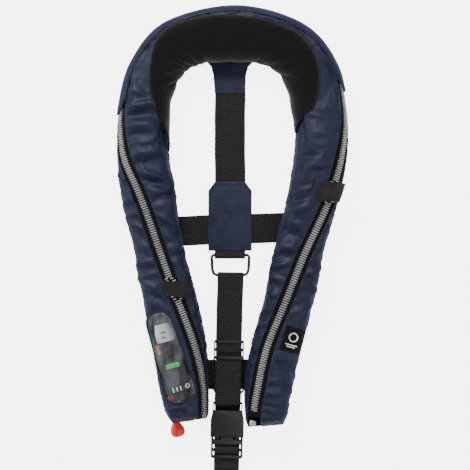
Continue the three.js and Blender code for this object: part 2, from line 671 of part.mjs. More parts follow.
// Steel hook and loop that close the waist belt: the hook's lip reaches over the loop's inner bar.
function buildSteelBuckle() {
  const { rod, height, width, y, z, left, right } = steel;
  const frame = (x0, x1) => roundRing([[x0 + 1, y - height / 2, z], [x1 - 1, y - height / 2, z],
    [x1, y, z], [x1 - 1, y + height / 2, z], [x0 + 1, y + height / 2, z], [x0, y, z]], rod, 28, 6);
  add(jacket, 'belt_buckle_loop', frame(left, left + width), bareSteel);
  const near = left + width + 2 * rod + 2;
  const lip = left + width - rod - 2.6;
  const over = z + rod + 0.3;
  const hook = join(frame(near, right),
    block([lip, y - 10, over], [near + rod, y + 10, over + 1.2]),
    block([lip, y - 10, z - 1], [lip + 1.4, y + 10, over + 1]),
    block([near - 1, y - 10, z], [near + rod, y + 10, over + 1]));
  add(jacket, 'belt_buckle_hook', hook, bareSteel);
}

// One webbing from the yoke, through the back patch and round the ring's top bar.
function buildBack() {
  const low = belt.low + belt.thick / 2;
  const bar = ring.y + ring.height / 2;
  const radius = ring.bar + gap + 0.3 + belt.thick / 2;
  const centre = low + radius;
  const folded = low + belt.thick + layerGap;
  const line = [[208, low], [bar + 5, low], ...turnRound(bar, centre, radius, 270, 40, 10),
    [bar + 6, folded - 0.1], [bar + 11.5, folded]];
  add(jacket, 'back_strap', webbing(line, belt.width, belt.thick), web);
  const tab = [[-36, 222], [36, 222], [31, 203], [24, 196], [21, 185], [20, 161], [-20, 161], [-22, 185],
    [-25, 196], [-31, 203]];
  add(jacket, 'yoke_tab', plate(tab, belt.low + belt.thick + layerGap, pouchLow - gap), navy);

  const { width, length, chamfer, rise, sheet: thin } = patch;
  const w = width / 2;
  const l = length / 2;
  const outline = [[-w, -l], [w, -l], [w, l - rise], [w - chamfer, l], [-w + chamfer, l], [-w, l - rise]];
  const top = belt.low + 2 * belt.thick + 3 * layerGap;
  add(jacket, 'back_patch_rear', plate(outline, 0, thin), navy);
  add(jacket, 'back_patch_front', plate(outline, top, top + thin), navy);
}

function ringHeights() {
  const low = belt.low + belt.thick / 2 + ring.bar + gap + 0.3 + belt.thick / 2;
  return { low, high: low + 3.4 };
}

function buildRing() {
  const { y, x, top, bottom, height } = ring;
  const { low, high } = ringHeights();
  const up = y + height / 2;
  const down = y - height / 2;
  const t = top / 2 - ring.bar;
  const b = bottom / 2 - ring.bar;
  const points = [[-t, up, low], [-t / 2, up, low], [0, up, low], [t / 2, up, low], [t, up, low],
    [t + 0.4, up - 8, low + 1], [b, down + 2, high], [b / 2, down, high], [0, down, high],
    [-b / 2, down, high], [-b, down + 2, high], [-t - 0.4, up - 8, low + 1]];
  add(jacket, 'ring', roundRing(points.map(([px, py, pz]) => [px + x, py, pz]), ring.bar, 40, 7), blackPlastic);
}

// ---- crotch strap, adjuster and side-release buckle --------------------------------------------------

// The strap, its adjuster and the buckle hang from the ring in a group turned about a point under it.
const columnY = -76;
const column = new THREE.Group();
column.position.set(ring.x, columnY, 0);
column.rotation.z = rad(crotch.tilt);
jacket.add(column);

const atColumn = (points) => points.map(([y, z]) => [y - columnY, z]);

// Webbing weaving under, over and under the three bars of an adjuster.
function weave(y, z, length, bar, height) {
  const low = z - height / 2 - gap - crotch.thick / 2 - 0.1;
  const high = z + height / 2 + gap + crotch.thick / 2 + 0.1;
  const edge = length / 2 - bar;
  return [[y + edge + bar, low], [y + edge, low], [y + bar / 2, high], [y - bar / 2, high], [y - edge, low],
    [y - edge - bar, low]];
}

// A frame with three cross bars, as an adjuster has.
function barFrame(width, length, bar, height) {
  const slot = (length - 3 * bar) / 2;
  const opening = crotch.width + 2;
  const outer = plate(roundedRectangle(width, length, 3), -height / 2, height / 2);
  const hole = (sign) => block([-opening / 2, sign * (bar + slot) / 2 - slot / 2, -height],
    [opening / 2, sign * (bar + slot) / 2 + slot / 2, height]);
  return cut(outer, hole(1), hole(-1));
}

function buildCrotchStrap() {
  const ringBar = ring.y - ring.height / 2;
  const { high } = ringHeights();
  const radius = ring.bar + gap + 0.3 + crotch.thick / 2;
  const endBar = buckle.mouth + buckle.length - buckle.bar;
  const endRadius = buckle.bar * Math.SQRT2 + gap + crotch.thick / 2;
  const start = [[ringBar - 30, high - 1.6], [ringBar - 7, high - 1.6],
    ...turnRound(ringBar, high, radius, -100, 100, 10)];
  const main = [[ringBar - 14, high + 2.2], ...weave(glide.y, glide.z, glide.length, glide.bar, glide.height),
    [glide.y - 22, 16], [endBar + 10, buckle.z + endRadius]];
  const round = turnRound(endBar, buckle.z, endRadius, 90, 270, 8);
  const back = [[endBar + 10, buckle.z - endRadius + 0.2], [glide.y - 16, 10.6]];
  const path = [...start, ...main, ...round, ...back];
  add(column, 'crotch_strap', webbing(atColumn(path), crotch.width, crotch.thick), web);
  const frame = barFrame(glide.width, glide.length, glide.bar, glide.height);
  add(column, 'crotch_adjuster', frame.translate(0, glide.y - columnY, glide.z), blackPlastic);
}

function buildBuckle() {
  const place = new THREE.Group();
  place.position.set(0, buckle.mouth - columnY, buckle.z);
  column.add(place);
  const { length, wide, narrow, thick } = buckle;
  const outline = [[-wide / 2, 0], [wide / 2, 0], [wide / 2, 22], [narrow / 2, 34], [narrow / 2, length],
    [-narrow / 2, length], [-narrow / 2, 34], [-wide / 2, 22]];
  const { width, height, depth } = channel;
  const slot = crotch.width + 2;
  const female = cut(plate(outline, -thick / 2, thick / 2),
    block([-width / 2, -1, -height / 2], [width / 2, depth, height / 2]),
    block([-wide, 10, -height / 2], [wide, 25, height / 2]),
    block([-slot / 2, depth + 1.6, -thick], [slot / 2, length - 2 * buckle.bar, thick]),
    ...[-1, 1].map((sign) => block([-slot / 2, depth + 3, Math.min(sign * thick, sign * buckle.bar)],
      [slot / 2, length + 1, Math.max(sign * thick, sign * buckle.bar)])));
  add(place, 'buckle_female', female, blackPlastic);

  const bars = ladder.bar;
  const body = join(
    plate(roundedRectangle(ladder.width, 8.4, 1.5), -4.6, 4.6).translate(0, -4.6, 0),
    barFrame(ladder.width, ladder.length - 6, bars, ladder.height).translate(0, -6 - (ladder.length - 6) / 2, 0),
    block([-3.6, -2, -2.4], [3.6, prong.length, 2.4]));
  add(place, 'buckle_male', cut(body, ...[-1, 1].map((sign) =>
    block([sign * prong.spread - 5, -3.4, -6], [sign * prong.spread + 5, 2, 6]))), blackPlastic);

  for (const [name, sign] of [['left', -1], ['right', 1]]) {
    const shape = new THREE.Shape();
    shape.moveTo(-2.3, -3).lineTo(2.3, -3).lineTo(2.3, 10).quadraticCurveTo(5.4, 12, 5.4, 16);
    shape.quadraticCurveTo(5.4, 22, 1, prong.length).lineTo(-1.6, prong.length).lineTo(0.4, 18);
    shape.lineTo(-0.6, 12).lineTo(-2.3, 8);
    const leg = plate(shape, -prong.height / 2, prong.height / 2);
    const shaped = sign < 0 ? mirrored(leg) : leg;
    add(place, `buckle_prong_${name}`, shaped.translate(sign * prong.spread, 0, 0), blackPlastic);
  }

  const middle = buckle.mouth - 6 - (ladder.length - 6) / 2;
  const top = weave(middle, buckle.z, ladder.length - 6, bars, ladder.height);
  const bend = -347;
  const low = gap + crotch.thick / 2;
  const belly = steel.y;
  const front = [...top.slice(1), [middle - 22, 12], [bend + 14, 3.2 + low], [bend + 4, 3.1 + low]];
  const turn = turnRound(bend + 3, low + 1.5, 1.5, 90, 270, 6);
  const loopTop = belly + belt.width / 2 + 34;
  const under = [[bend + 20, low], [loopTop, low]];
  const around = turnRound(loopTop, low + 4, 4, 270, 450, 8);
  const back = [[loopTop - 2, low + 8], [belly - belt.width / 2 - 32, low + 8.1], [belly - 66, low + 2.2],
    [belly - 84, low + 2.0]];
  add(column, 'crotch_strap_lower',
    webbing(atColumn([...front, ...turn, ...under, ...around, ...back]), crotch.width - 1, crotch.thick), web);
}

buildCover();
buildCollar();
buildZip();
buildSlider('left');
buildSlider('right');
buildFlap('left');
buildFlap('right');
buildZipEnds();
buildBladder();
buildLabel();
buildInflator();
buildOralTube();
buildWaistBelt();
buildBeltLoops();
buildSteelBuckle();
buildBack();
buildRing();
buildCrotchStrap();
buildBuckle();

export default jacket;
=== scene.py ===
"""Inflatable life jacket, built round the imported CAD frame. Metres, +Z up."""
import json
import math

import bmesh
import bpy
import numpy as np
from mathutils import Matrix, Vector


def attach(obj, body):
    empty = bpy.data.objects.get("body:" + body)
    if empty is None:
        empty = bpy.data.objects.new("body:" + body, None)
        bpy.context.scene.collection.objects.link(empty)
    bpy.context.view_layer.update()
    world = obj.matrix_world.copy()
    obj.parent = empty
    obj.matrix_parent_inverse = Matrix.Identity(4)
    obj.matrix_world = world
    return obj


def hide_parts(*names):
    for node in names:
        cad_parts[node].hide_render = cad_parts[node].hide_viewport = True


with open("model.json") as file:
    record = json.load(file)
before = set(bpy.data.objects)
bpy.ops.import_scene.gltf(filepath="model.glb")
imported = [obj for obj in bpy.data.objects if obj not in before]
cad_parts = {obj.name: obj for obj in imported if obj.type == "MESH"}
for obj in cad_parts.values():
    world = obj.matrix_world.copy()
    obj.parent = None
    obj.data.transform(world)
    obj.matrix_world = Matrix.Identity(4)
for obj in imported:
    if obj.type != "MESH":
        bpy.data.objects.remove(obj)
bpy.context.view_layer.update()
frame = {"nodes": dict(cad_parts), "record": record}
MM = 0.001

# ---- outline of the pouch: the CAD's own driving values, in millimetres ---------------------

POUCH_LOW, POUCH_MID, POUCH_TOP, CORNER = 5.0, 23.0, 47.0, 2.6
END_HEIGHT, END_LENGTH = 0.17, 0.25
BACK_SEAM, SEAM_GAP = 22.0, 1.4
ZIP_HALF, TOOTH_PITCH = 9.0, 3.1
VALLEY_DEPTH, VALLEY_SPREAD = 3.0, 26.0
ZIP_END = 0.27
OUTER = np.array([
    (-78, -270), (-90, -234), (-101, -172), (-116, -99), (-127, -39), (-143, 29), (-148, 86),
    (-144, 146), (-127, 203), (-83, 252), (8, 273), (94, 250), (138, 200), (153, 135),
    (153, 73), (140, 13), (122, -49), (110, -107), (94, -169), (80, -226), (73, -271)], float)
INNER = np.array([
    (-27, -263), (-27, -224), (-30, -168), (-43, -104), (-59, -44), (-70, 25), (-79, 83),
    (-81, 143), (-65, 183), (-39, 200), (3, 204), (42, 200), (69, 182), (83, 140),
    (83, 83), (72, 17), (56, -48), (44, -107), (27, -168), (18, -221), (20, -275)], float)
ZIP = np.array([
    143, 143, 125, 106, 92, 73, 41, 22, 18, 18, 18, 18, 18, 22, 41, 54, 76, 97, 112, 116, 134], float)
COLLAR = np.array([
    (6, 168), (7, 114), (8, 77), (9, 47), (10, 57), (11, 59), (12, 73), (13, 107), (13.6, 163)], float)
LAST = len(OUTER) - 1


def spline(values, t):
    """Catmull-Rom curve through values, at station t."""
    values = values.reshape(len(values), -1)
    ends = np.vstack([2 * values[0] - values[1], values, 2 * values[-1] - values[-2]])
    t = np.clip(np.asarray(t, float), 0, len(values) - 1)
    i = np.minimum(t.astype(int), len(values) - 2)
    w = (t - i)[..., None]
    a, b, c, d = ends[i], ends[i + 1], ends[i + 2], ends[i + 3]
    square, cube = 2 * a - 5 * b + 4 * c - d, 3 * b - a - 3 * c + d
    return 0.5 * (2 * b + (c - a) * w + square * w ** 2 + cube * w ** 3)


def zip_angle(t):
    return spline(ZIP, t)[..., 0]


def collar_angle(t):
    stations = np.linspace(*COLLAR[[0, -1], 0], 77)
    places = np.interp(stations, COLLAR[:, 0], range(len(COLLAR)))
    return np.interp(t, stations, spline(COLLAR[:, 1], places)[:, 0])


def closing(t):
    away = np.clip(np.minimum(t, LAST - t) / END_LENGTH, 0, 1)
    return np.sin(away * np.pi / 2)


def on_pouch(t, a, d=0.0):
    """Points of the pouch at stations t and angles a (degrees), d millimetres below its surface."""
    t, a = np.broadcast_arrays(np.asarray(t, float), np.asarray(a, float))
    outer, inner = spline(OUTER, t), spline(INNER, t)
    half = (outer - inner) / 2
    width = np.linalg.norm(half, axis=-1)
    across = half / width[..., None]
    shut = closing(t)
    height = END_HEIGHT + (1 - END_HEIGHT) * shut
    c, u = np.cos(np.radians(a)), np.sin(np.radians(a))
    r = (np.abs(c) ** CORNER + np.abs(u) ** CORNER) ** (-1 / CORNER)
    depth = d + VALLEY_DEPTH * np.exp(-((a - zip_angle(t)) / VALLEY_SPREAD) ** 2) * height
    rise = np.where(u > 0, POUCH_TOP - POUCH_MID, POUCH_MID - POUCH_LOW) * height - depth
    flat = across * ((width * (0.86 + 0.14 * shut) - depth) * r * c)[..., None] + (outer + inner) / 2
    return np.concatenate([flat, (POUCH_MID + rise * r * u)[..., None]], -1) * MM


def degrees_for(t, a, distance):
    """Degrees that a distance in millimetres takes up round the section."""
    step = np.sign(distance) * 4.0
    span = np.linalg.norm(on_pouch(t, a) - on_pouch(t, a + step), axis=-1) / MM
    return step * abs(distance) / span


def beside_zip(t, distance):
    angle = zip_angle(t)
    return angle + degrees_for(t, angle, distance) if distance else angle


def speed(t):
    """Metres along the zip for each station."""
    ahead, behind = t + 0.05, t - 0.05
    span = on_pouch(ahead, zip_angle(ahead)) - on_pouch(behind, zip_angle(behind))
    return np.linalg.norm(span, axis=-1) / 0.1


# ---- materials -----------------------------------------------------------------------------

class Look:
    """A material under construction: nodes are made by name and linked by their sockets."""

    def __init__(self, name, colour, rough, metal=0.0, **shader):
        self.material = bpy.data.materials.new(name)
        self.material.use_nodes = True
        self.tree = self.material.node_tree
        self.shader = self.tree.nodes["Principled BSDF"]
        self.set("Base Color", (*colour, 1))
        self.set("Roughness", rough)
        self.set("Metallic", metal)
        for key, value in shader.items():
            self.set(key.replace("_", " "), value)
        self.bumped = None

    def set(self, socket, value):
        self.shader.inputs[socket].default_value = value

    def node(self, kind, **values):
        made = self.tree.nodes.new(kind)
        for key, value in values.items():
            if hasattr(made, key):
                setattr(made, key, value)
            else:
                made.inputs[key.replace("_", " ")].default_value = value
        return made

    def link(self, source, target):
        self.tree.links.new(source, target)

    def coords(self, kind="Object", scale=(1, 1, 1), turn=0.0):
        place = self.node("ShaderNodeMapping")
        place.inputs["Scale"].default_value = scale
        place.inputs["Rotation"].default_value = (0, 0, turn)
        self.link(self.node("ShaderNodeTexCoord").outputs[kind], place.inputs["Vector"])
        return place.outputs["Vector"]

    def noise(self, scale, detail=4.0, kind="Object", stretch=(1, 1, 1), rough=0.55):
        made = self.node("ShaderNodeTexNoise", Scale=scale, Detail=detail, Roughness=rough)
        self.link(self.coords(kind, stretch), made.inputs["Vector"])
        return made.outputs["Fac"]

    def wave(self, pitch, direction, kind="UV", turn=0.0):
        """Ridges with the given pitch in metres."""
        made = self.node("ShaderNodeTexWave", bands_direction=direction, Scale=1.0)
        self.link(self.coords(kind, (0.314 / pitch,) * 3, turn), made.inputs["Vector"])
        return made.outputs["Fac"]

    def math(self, operation, a, b):
        made = self.node("ShaderNodeMath", operation=operation)
        for socket, value in zip(made.inputs, (a, b)):
            if isinstance(value, (int, float)):
                socket.default_value = value
            else:
                self.link(value, socket)
        return made.outputs[0]

    def ramp(self, source, dark, light, low=0.3, high=0.7):
        made = self.node("ShaderNodeValToRGB")
        made.color_ramp.elements[0].position = low
        made.color_ramp.elements[1].position = high
        made.color_ramp.elements[0].color = (*dark, 1)
        made.color_ramp.elements[1].color = (*light, 1)
        self.link(source, made.inputs["Fac"])
        return made.outputs["Color"]

    def colour(self, source):
        self.link(source, self.shader.inputs["Base Color"])

    def roughness(self, source, low, high):
        made = self.node("ShaderNodeMapRange")
        made.inputs["To Min"].default_value = low
        made.inputs["To Max"].default_value = high
        self.link(source, made.inputs["Value"])
        self.link(made.outputs["Result"], self.shader.inputs["Roughness"])

    def bump(self, source, depth, strength=1.0):
        """Adds relief of the given depth in metres."""
        made = self.node("ShaderNodeBump", Strength=strength, Distance=depth)
        self.link(source, made.inputs["Height"])
        if self.bumped:
            self.link(self.bumped, made.inputs["Normal"])
        self.bumped = made.outputs["Normal"]
        self.link(self.bumped, self.shader.inputs["Normal"])


def nylon():
    look = Look("navy_nylon", (0.012, 0.015, 0.04), 0.42, Sheen_Weight=0.03, Specular_IOR_Level=0.3)
    look.set("Sheen Roughness", 0.4)
    tone = look.noise(28, 5, stretch=(1, 1.4, 1))
    look.colour(look.ramp(tone, (0.0055, 0.0075, 0.026), (0.011, 0.0145, 0.042), 0.3, 0.7))
    look.roughness(look.noise(60, 3), 0.42, 0.6)
    look.bump(look.noise(42, 5, stretch=(1, 1.7, 1), rough=0.55), 0.0022, 0.45)
    look.bump(look.noise(120, 4), 0.0006, 0.4)
    weave = look.math("MULTIPLY", look.wave(0.0009, "X"), look.wave(0.0009, "Y"))
    look.bump(weave, 0.00012, 0.35)
    return look.material


def fleece():
    look = Look("black_fleece", (0.003, 0.003, 0.0034), 1.0, Sheen_Weight=0.09, Specular_IOR_Level=0.08)
    look.set("Sheen Roughness", 0.6)
    look.colour(look.ramp(look.noise(900, 3), (0.0014, 0.0014, 0.0016), (0.011, 0.0105, 0.0105), 0.35, 0.75))
    look.bump(look.noise(1400, 4), 0.0006, 0.8)
    look.bump(look.noise(60, 3), 0.001, 0.35)
    return look.material


def webbing_cloth():
    look = Look("black_webbing", (0.006, 0.006, 0.006), 0.62, Sheen_Weight=0.03, Specular_IOR_Level=0.3)
    slant = math.radians(38)
    twill = look.math("ADD", look.wave(0.0026, "X", turn=slant), look.wave(0.0026, "X", turn=-slant))
    ribs = look.math("ADD", look.wave(0.0021, "Y"), look.math("MULTIPLY", twill, 0.6))
    tone = look.math("MULTIPLY", ribs, 0.5)
    look.colour(look.ramp(tone, (0.001, 0.001, 0.0011), (0.024, 0.0235, 0.0225), 0.3, 0.95))
    look.bump(ribs, 0.0006, 0.9)
    look.bump(look.noise(120, 3), 0.0006, 0.3)
    return look.material


def tape_cloth(name="zip_tape", light=0.005):
    look = Look(name, (light, light, light * 1.05), 0.85, Specular_IOR_Level=0.15)
    herring = look.wave(0.0011, "DIAGONAL")
    look.colour(look.ramp(herring, (light * 0.5,) * 3, (light * 1.5,) * 3, 0.2, 0.8))
    look.bump(herring, 0.0002, 0.6)
    return look.material


def canvas():
    look = Look("charcoal_fabric", (0.015, 0.0135, 0.0135), 0.85, Sheen_Weight=0.05, Specular_IOR_Level=0.25)
    weave = look.math("MULTIPLY", look.wave(0.0012, "X"), look.wave(0.0012, "Y"))
    look.colour(look.ramp(look.noise(70, 4), (0.0095, 0.0085, 0.0085), (0.02, 0.018, 0.018)))
    look.bump(weave, 0.00025, 0.7)
    look.bump(look.noise(70, 4), 0.0008, 0.35)
    return look.material


def moulded(name, colour, rough=0.42, grain=0.00008, metal=0.0):
    look = Look(name, colour, rough, metal)
    dark = tuple(0.72 * c for c in colour)
    light = tuple(min(1.25 * c + 0.002, 1) for c in colour)
    look.colour(look.ramp(look.noise(160, 4), dark, light, 0.25, 0.8))
    look.roughness(look.noise(220, 5), rough - 0.08, rough + 0.12)
    look.bump(look.noise(2600, 3), grain, 0.6)
    return look.material


def metal(name, colour, rough):
    look = Look(name, colour, rough, 1.0)
    look.roughness(look.noise(350, 4, stretch=(1, 0.06, 1)), rough - 0.06, rough + 0.16)
    look.bump(look.noise(700, 3, stretch=(1, 0.05, 1)), 0.00005, 0.5)
    return look.material


def vinyl():
    look = Look("clear_vinyl", (0.36, 0.38, 0.4), 0.13, Specular_IOR_Level=1.0)
    cloud = look.node("ShaderNodeMapRange")
    cloud.inputs["From Min"].default_value = 0.42
    cloud.inputs["From Max"].default_value = 0.72
    cloud.inputs["To Min"].default_value = 0.02
    cloud.inputs["To Max"].default_value = 0.2
    look.link(look.noise(32, 3, stretch=(1.6, 0.7, 1)), cloud.inputs["Value"])
    look.link(cloud.outputs["Result"], look.shader.inputs["Alpha"])
    look.bump(look.noise(38, 4), 0.003, 0.6)
    return look.material


NAVY = nylon()
FLEECE = fleece()
WEB = webbing_cloth()
TAPE = tape_cloth()
CANVAS = canvas()
TOOTH = moulded("grey_zip", (0.4, 0.41, 0.4), 0.34, metal=0.35)
BLACK = moulded("black_plastic", (0.0075, 0.0075, 0.008), 0.36)
GREY = moulded("grey_plastic", (0.55, 0.6, 0.63), 0.35)
RED = moulded("red_plastic", (0.85, 0.035, 0.02), 0.3)
GREEN = moulded("green_plastic", (0.03, 0.55, 0.07), 0.35)
ORANGE = moulded("orange_plastic", (0.8, 0.2, 0.03), 0.35)
COATED = moulded("orange_bladder", (0.75, 0.2, 0.02), 0.5, 0.0003)
STEEL = metal("steel", (0.5, 0.5, 0.52), 0.25)
RUBBER = moulded("black_rubber", (0.014, 0.014, 0.015), 0.75)
CLEAR = vinyl()
THREAD = moulded("navy_thread", (0.02, 0.024, 0.055), 0.6)
BLACK_THREAD = moulded("black_thread", (0.016, 0.016, 0.017), 0.6)
PRINT = moulded("white_print", (0.75, 0.76, 0.77), 0.5)

CAD_LOOKS = {
    "navy_nylon": NAVY, "black_fleece": FLEECE, "black_webbing": WEB, "zip_tape": TAPE, "grey_zip": TOOTH,
    "charcoal_fabric": CANVAS, "clear_vinyl": CLEAR, "orange_bladder": COATED, "black_plastic": BLACK,
    "grey_plastic": GREY, "green_plastic": GREEN, "red_plastic": RED, "orange_plastic": ORANGE,
    "steel": STEEL, "black_rubber": RUBBER}
SLOTS = {row["node"]: row["material_slot"] for row in frame["record"]["subparts"]}
BODY_OF = {node: body for body, nodes in frame["record"]["behaviour"]["bodies"].items() for node in nodes}
ROOT = "jacket"


# ---- mesh building -----------------------------------------------------------------------------

def piece(name, vertices, faces, look, body=ROOT, uv=None, smooth=True):
    mesh = bpy.data.meshes.new(name)
    mesh.from_pydata([tuple(v) for v in vertices], [], [tuple(map(int, f)) for f in faces])
    if uv is not None:
        layer = mesh.uv_layers.new(name="UVMap")
        corner = np.empty(len(mesh.loops), int)
        mesh.loops.foreach_get("vertex_index", corner)
        layer.data.foreach_set("uv", np.asarray(uv, float)[corner].ravel())
    mesh.materials.append(look)
    mesh.update()
    obj = bpy.data.objects.new(name, mesh)
    bpy.context.scene.collection.objects.link(obj)
    if smooth:
        mesh.shade_smooth()
    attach(obj, body)
    return obj


def face_out(obj):
    """Turns every face of a closed mesh outwards."""
    made = bmesh.new()
    made.from_mesh(obj.data)
    bmesh.ops.recalc_face_normals(made, faces=made.faces)
    made.to_mesh(obj.data)
    made.free()
    return obj


def apply_modifiers(obj):
    graph = bpy.context.evaluated_depsgraph_get()
    mesh = bpy.data.meshes.new_from_object(obj.evaluated_get(graph))
    obj.modifiers.clear()
    obj.data = mesh


def grid_faces(rows, columns, wrap=False):
    faces = []
    for i in range(rows - 1):
        for j in range(columns if wrap else columns - 1):
            k = (j + 1) % columns
            faces.append((i * columns + j, (i + 1) * columns + j, (i + 1) * columns + k, i * columns + k))
    return faces


def measured(points):
    """Texture places in metres over a grid of points: along the rows, then across."""
    along = np.zeros(points.shape[:2])
    along[1:] = np.cumsum(np.linalg.norm(np.diff(points, axis=0), axis=-1), axis=0)
    across = np.zeros(points.shape[:2])
    across[:, 1:] = np.cumsum(np.linalg.norm(np.diff(points, axis=1), axis=-1), axis=1)
    middle = along.mean(axis=1, keepdims=True) * np.ones_like(along)
    return np.stack([across, middle], -1).reshape(-1, 2)


def outward(obj, up=True):
    """Turns the mesh so that most of its area faces up, or down."""
    total = sum(p.normal.z * p.area for p in obj.data.polygons)
    if (total < 0) == up:
        obj.data.flip_normals()


def thicken(obj, thickness, offset=-1.0):
    solid = obj.modifiers.new("thickness", "SOLIDIFY")
    solid.thickness = thickness
    solid.offset = offset
    apply_modifiers(obj)
    obj.data.shade_smooth()


def surface(name, points, look, thickness, body=ROOT, up=True):
    """A sheet through a grid of points, thickened inwards."""
    rows, columns = points.shape[:2]
    obj = piece(name, points.reshape(-1, 3), grid_faces(rows, columns), look, body, measured(points))
    outward(obj, up)
    thicken(obj, thickness)
    return obj


def joined(name, parts, look, body=ROOT, smooth=False):
    """One object out of many (vertices, faces) pairs."""
    vertices, faces, start = [], [], 0
    for points, rings in parts:
        vertices.extend(points)
        faces.extend([tuple(i + start for i in ring) for ring in rings])
        start += len(points)
    return piece(name, vertices, faces, look, body, smooth=smooth)


CUBE_FACES = [(0, 1, 3, 2), (4, 6, 7, 5), (0, 4, 5, 1), (2, 3, 7, 6), (0, 2, 6, 4), (1, 5, 7, 3)]


def brick(centre, axes, size, taper=1.0):
    """A small block: axes are three unit vectors, size its full lengths; taper narrows its top."""
    points = []
    for x in (-0.5, 0.5):
        for y in (-0.5, 0.5):
            for z in (-0.5, 0.5):
                shrink = taper if z > 0 else 1.0
                points.append(centre + axes[0] * (x * size[0] * shrink) + axes[1] * (y * size[1] * shrink)
                              + axes[2] * (z * size[2]))
    return points, CUBE_FACES


def stitch_row(name, points, normals, look=THREAD, slot="navy_nylon", body=ROOT, pitch=0.0034, width=0.0007):
    """Sewn stitches along a line of points that lie on fabric."""
    points, normals = np.asarray(points), np.asarray(normals)
    run = np.concatenate([[0], np.cumsum(np.linalg.norm(np.diff(points, axis=0), axis=1))])
    count = max(int(run[-1] / pitch), 1)
    parts = []
    for k in range(count):
        at = (k + 0.5) * pitch
        p = np.array([np.interp(at, run, points[:, i]) for i in range(3)])
        q = np.array([np.interp(at + 0.0002, run, points[:, i]) for i in range(3)])
        n = np.array([np.interp(at, run, normals[:, i]) for i in range(3)])
        n /= np.linalg.norm(n)
        along = q - p
        if np.linalg.norm(along) < 1e-9:
            continue
        along /= np.linalg.norm(along)
        side = np.cross(n, along)
        parts.append(brick(p + n * 0.0001, (along, side, n), (pitch * 0.68, width, width * 0.8), 0.6))
    return joined(name, parts, look, body)


def normals_of(points):
    """Unit normals of a grid of points."""
    a = np.gradient(points, axis=0)
    b = np.gradient(points, axis=1)
    n = np.cross(a, b)
    return n / np.maximum(np.linalg.norm(n, axis=-1, keepdims=True), 1e-12)


# ---- cover ---------------------------------------------------------------------------------------

# Large folds of the cover: station, angle, length along the section (degrees), width (stations),
# depth (mm), skew.
FOLDS_FRONT = [
    (6.35, 78, 60, 0.10, 3.4, 0.35), (6.75, 96, 62, 0.13, 4.2, 0.2), (7.1, 70, 45, 0.09, 2.6, -0.3),
    (5.75, 104, 58, 0.12, 4.0, 0.5), (5.3, 96, 55, 0.09, 3.2, -0.6), (5.0, 128, 48, 0.08, 2.6, 0.7),
    (4.4, 118, 60, 0.09, 2.4, -0.8), (3.9, 130, 50, 0.08, 2.2, 0.9), (3.3, 138, 50, 0.09, 2.4, -0.5),
    (2.6, 145, 45, 0.07, 1.8, 0.6), (1.9, 150, 50, 0.09, 1.8, -0.8), (8.6, 46, 36, 0.08, 1.8, 0.8),
    (11.7, 44, 30, 0.1, 1.6, -0.6), (13.4, 80, 50, 0.09, 2.4, -0.5), (14.0, 96, 60, 0.11, 2.4, 0.5),
    (14.9, 110, 60, 0.1, 2.6, 0.6), (15.6, 122, 60, 0.12, 3.2, -0.7), (16.1, 128, 50, 0.08, 2.6, 0.5),
    (16.7, 136, 46, 0.09, 2.6, -0.6), (17.4, 142, 50, 0.08, 2.0, 0.8), (18.2, 150, 50, 0.08, 1.8, -0.7)]
FOLDS_OUTER = [
    (5.15, 45, 50, 0.09, 3.0, -0.7), (4.7, 40, 40, 0.07, 1.8, 0.6), (4.2, 55, 50, 0.09, 2.2, -0.7),
    (3.5, 50, 60, 0.08, 2.2, 0.7), (2.95, 60, 60, 0.1, 2.8, -0.9), (0.75, 60, 60, 0.08, 1.3, 0.4),
    (15.3, 30, 40, 0.08, 1.8, -0.5), (16.2, 45, 55, 0.1, 2.8, 0.7), (16.6, 50, 50, 0.08, 2.6, -0.5),
    (17.1, 60, 60, 0.08, 1.8, 0.6), (18.9, 60, 70, 0.09, 1.6, 0.3), (19.5, 55, 70, 0.06, 1.4, -0.4)]


def fold_depth(t, a, folds):
    """Sharp-edged valleys with soft shoulders, in millimetres."""
    depth = np.zeros(np.broadcast(t, a).shape)
    for station, angle, length, width, deep, skew in folds:
        away = (t - station - skew * (a - angle) / 90 * 0.35) / width
        valley = 0.75 * np.exp(-np.abs(away) ** 1.3) - 1.15 * np.exp(-((away - 1.9) / 0.95) ** 2)
        valley -= 0.6 * np.exp(-((away + 1.9) / 0.8) ** 2)
        depth += deep * valley * np.exp(-(np.abs(a - angle) / length * 1.5) ** 3)
    return depth


def panel_points(ts, low, high, columns, depth, folds=()):
    """Grid of a panel; folds fade out towards its sewn edges."""
    share = np.linspace(0, 1, columns)[None, :]
    t = ts[:, None] * np.ones_like(share)
    a = low(ts)[:, None] * (1 - share) + high(ts)[:, None] * share
    fade = np.minimum(1, 5.5 * np.minimum(share, 1 - share)) ** 0.8
    return on_pouch(t, a, depth + fold_depth(t, a, folds) * fade), t, a


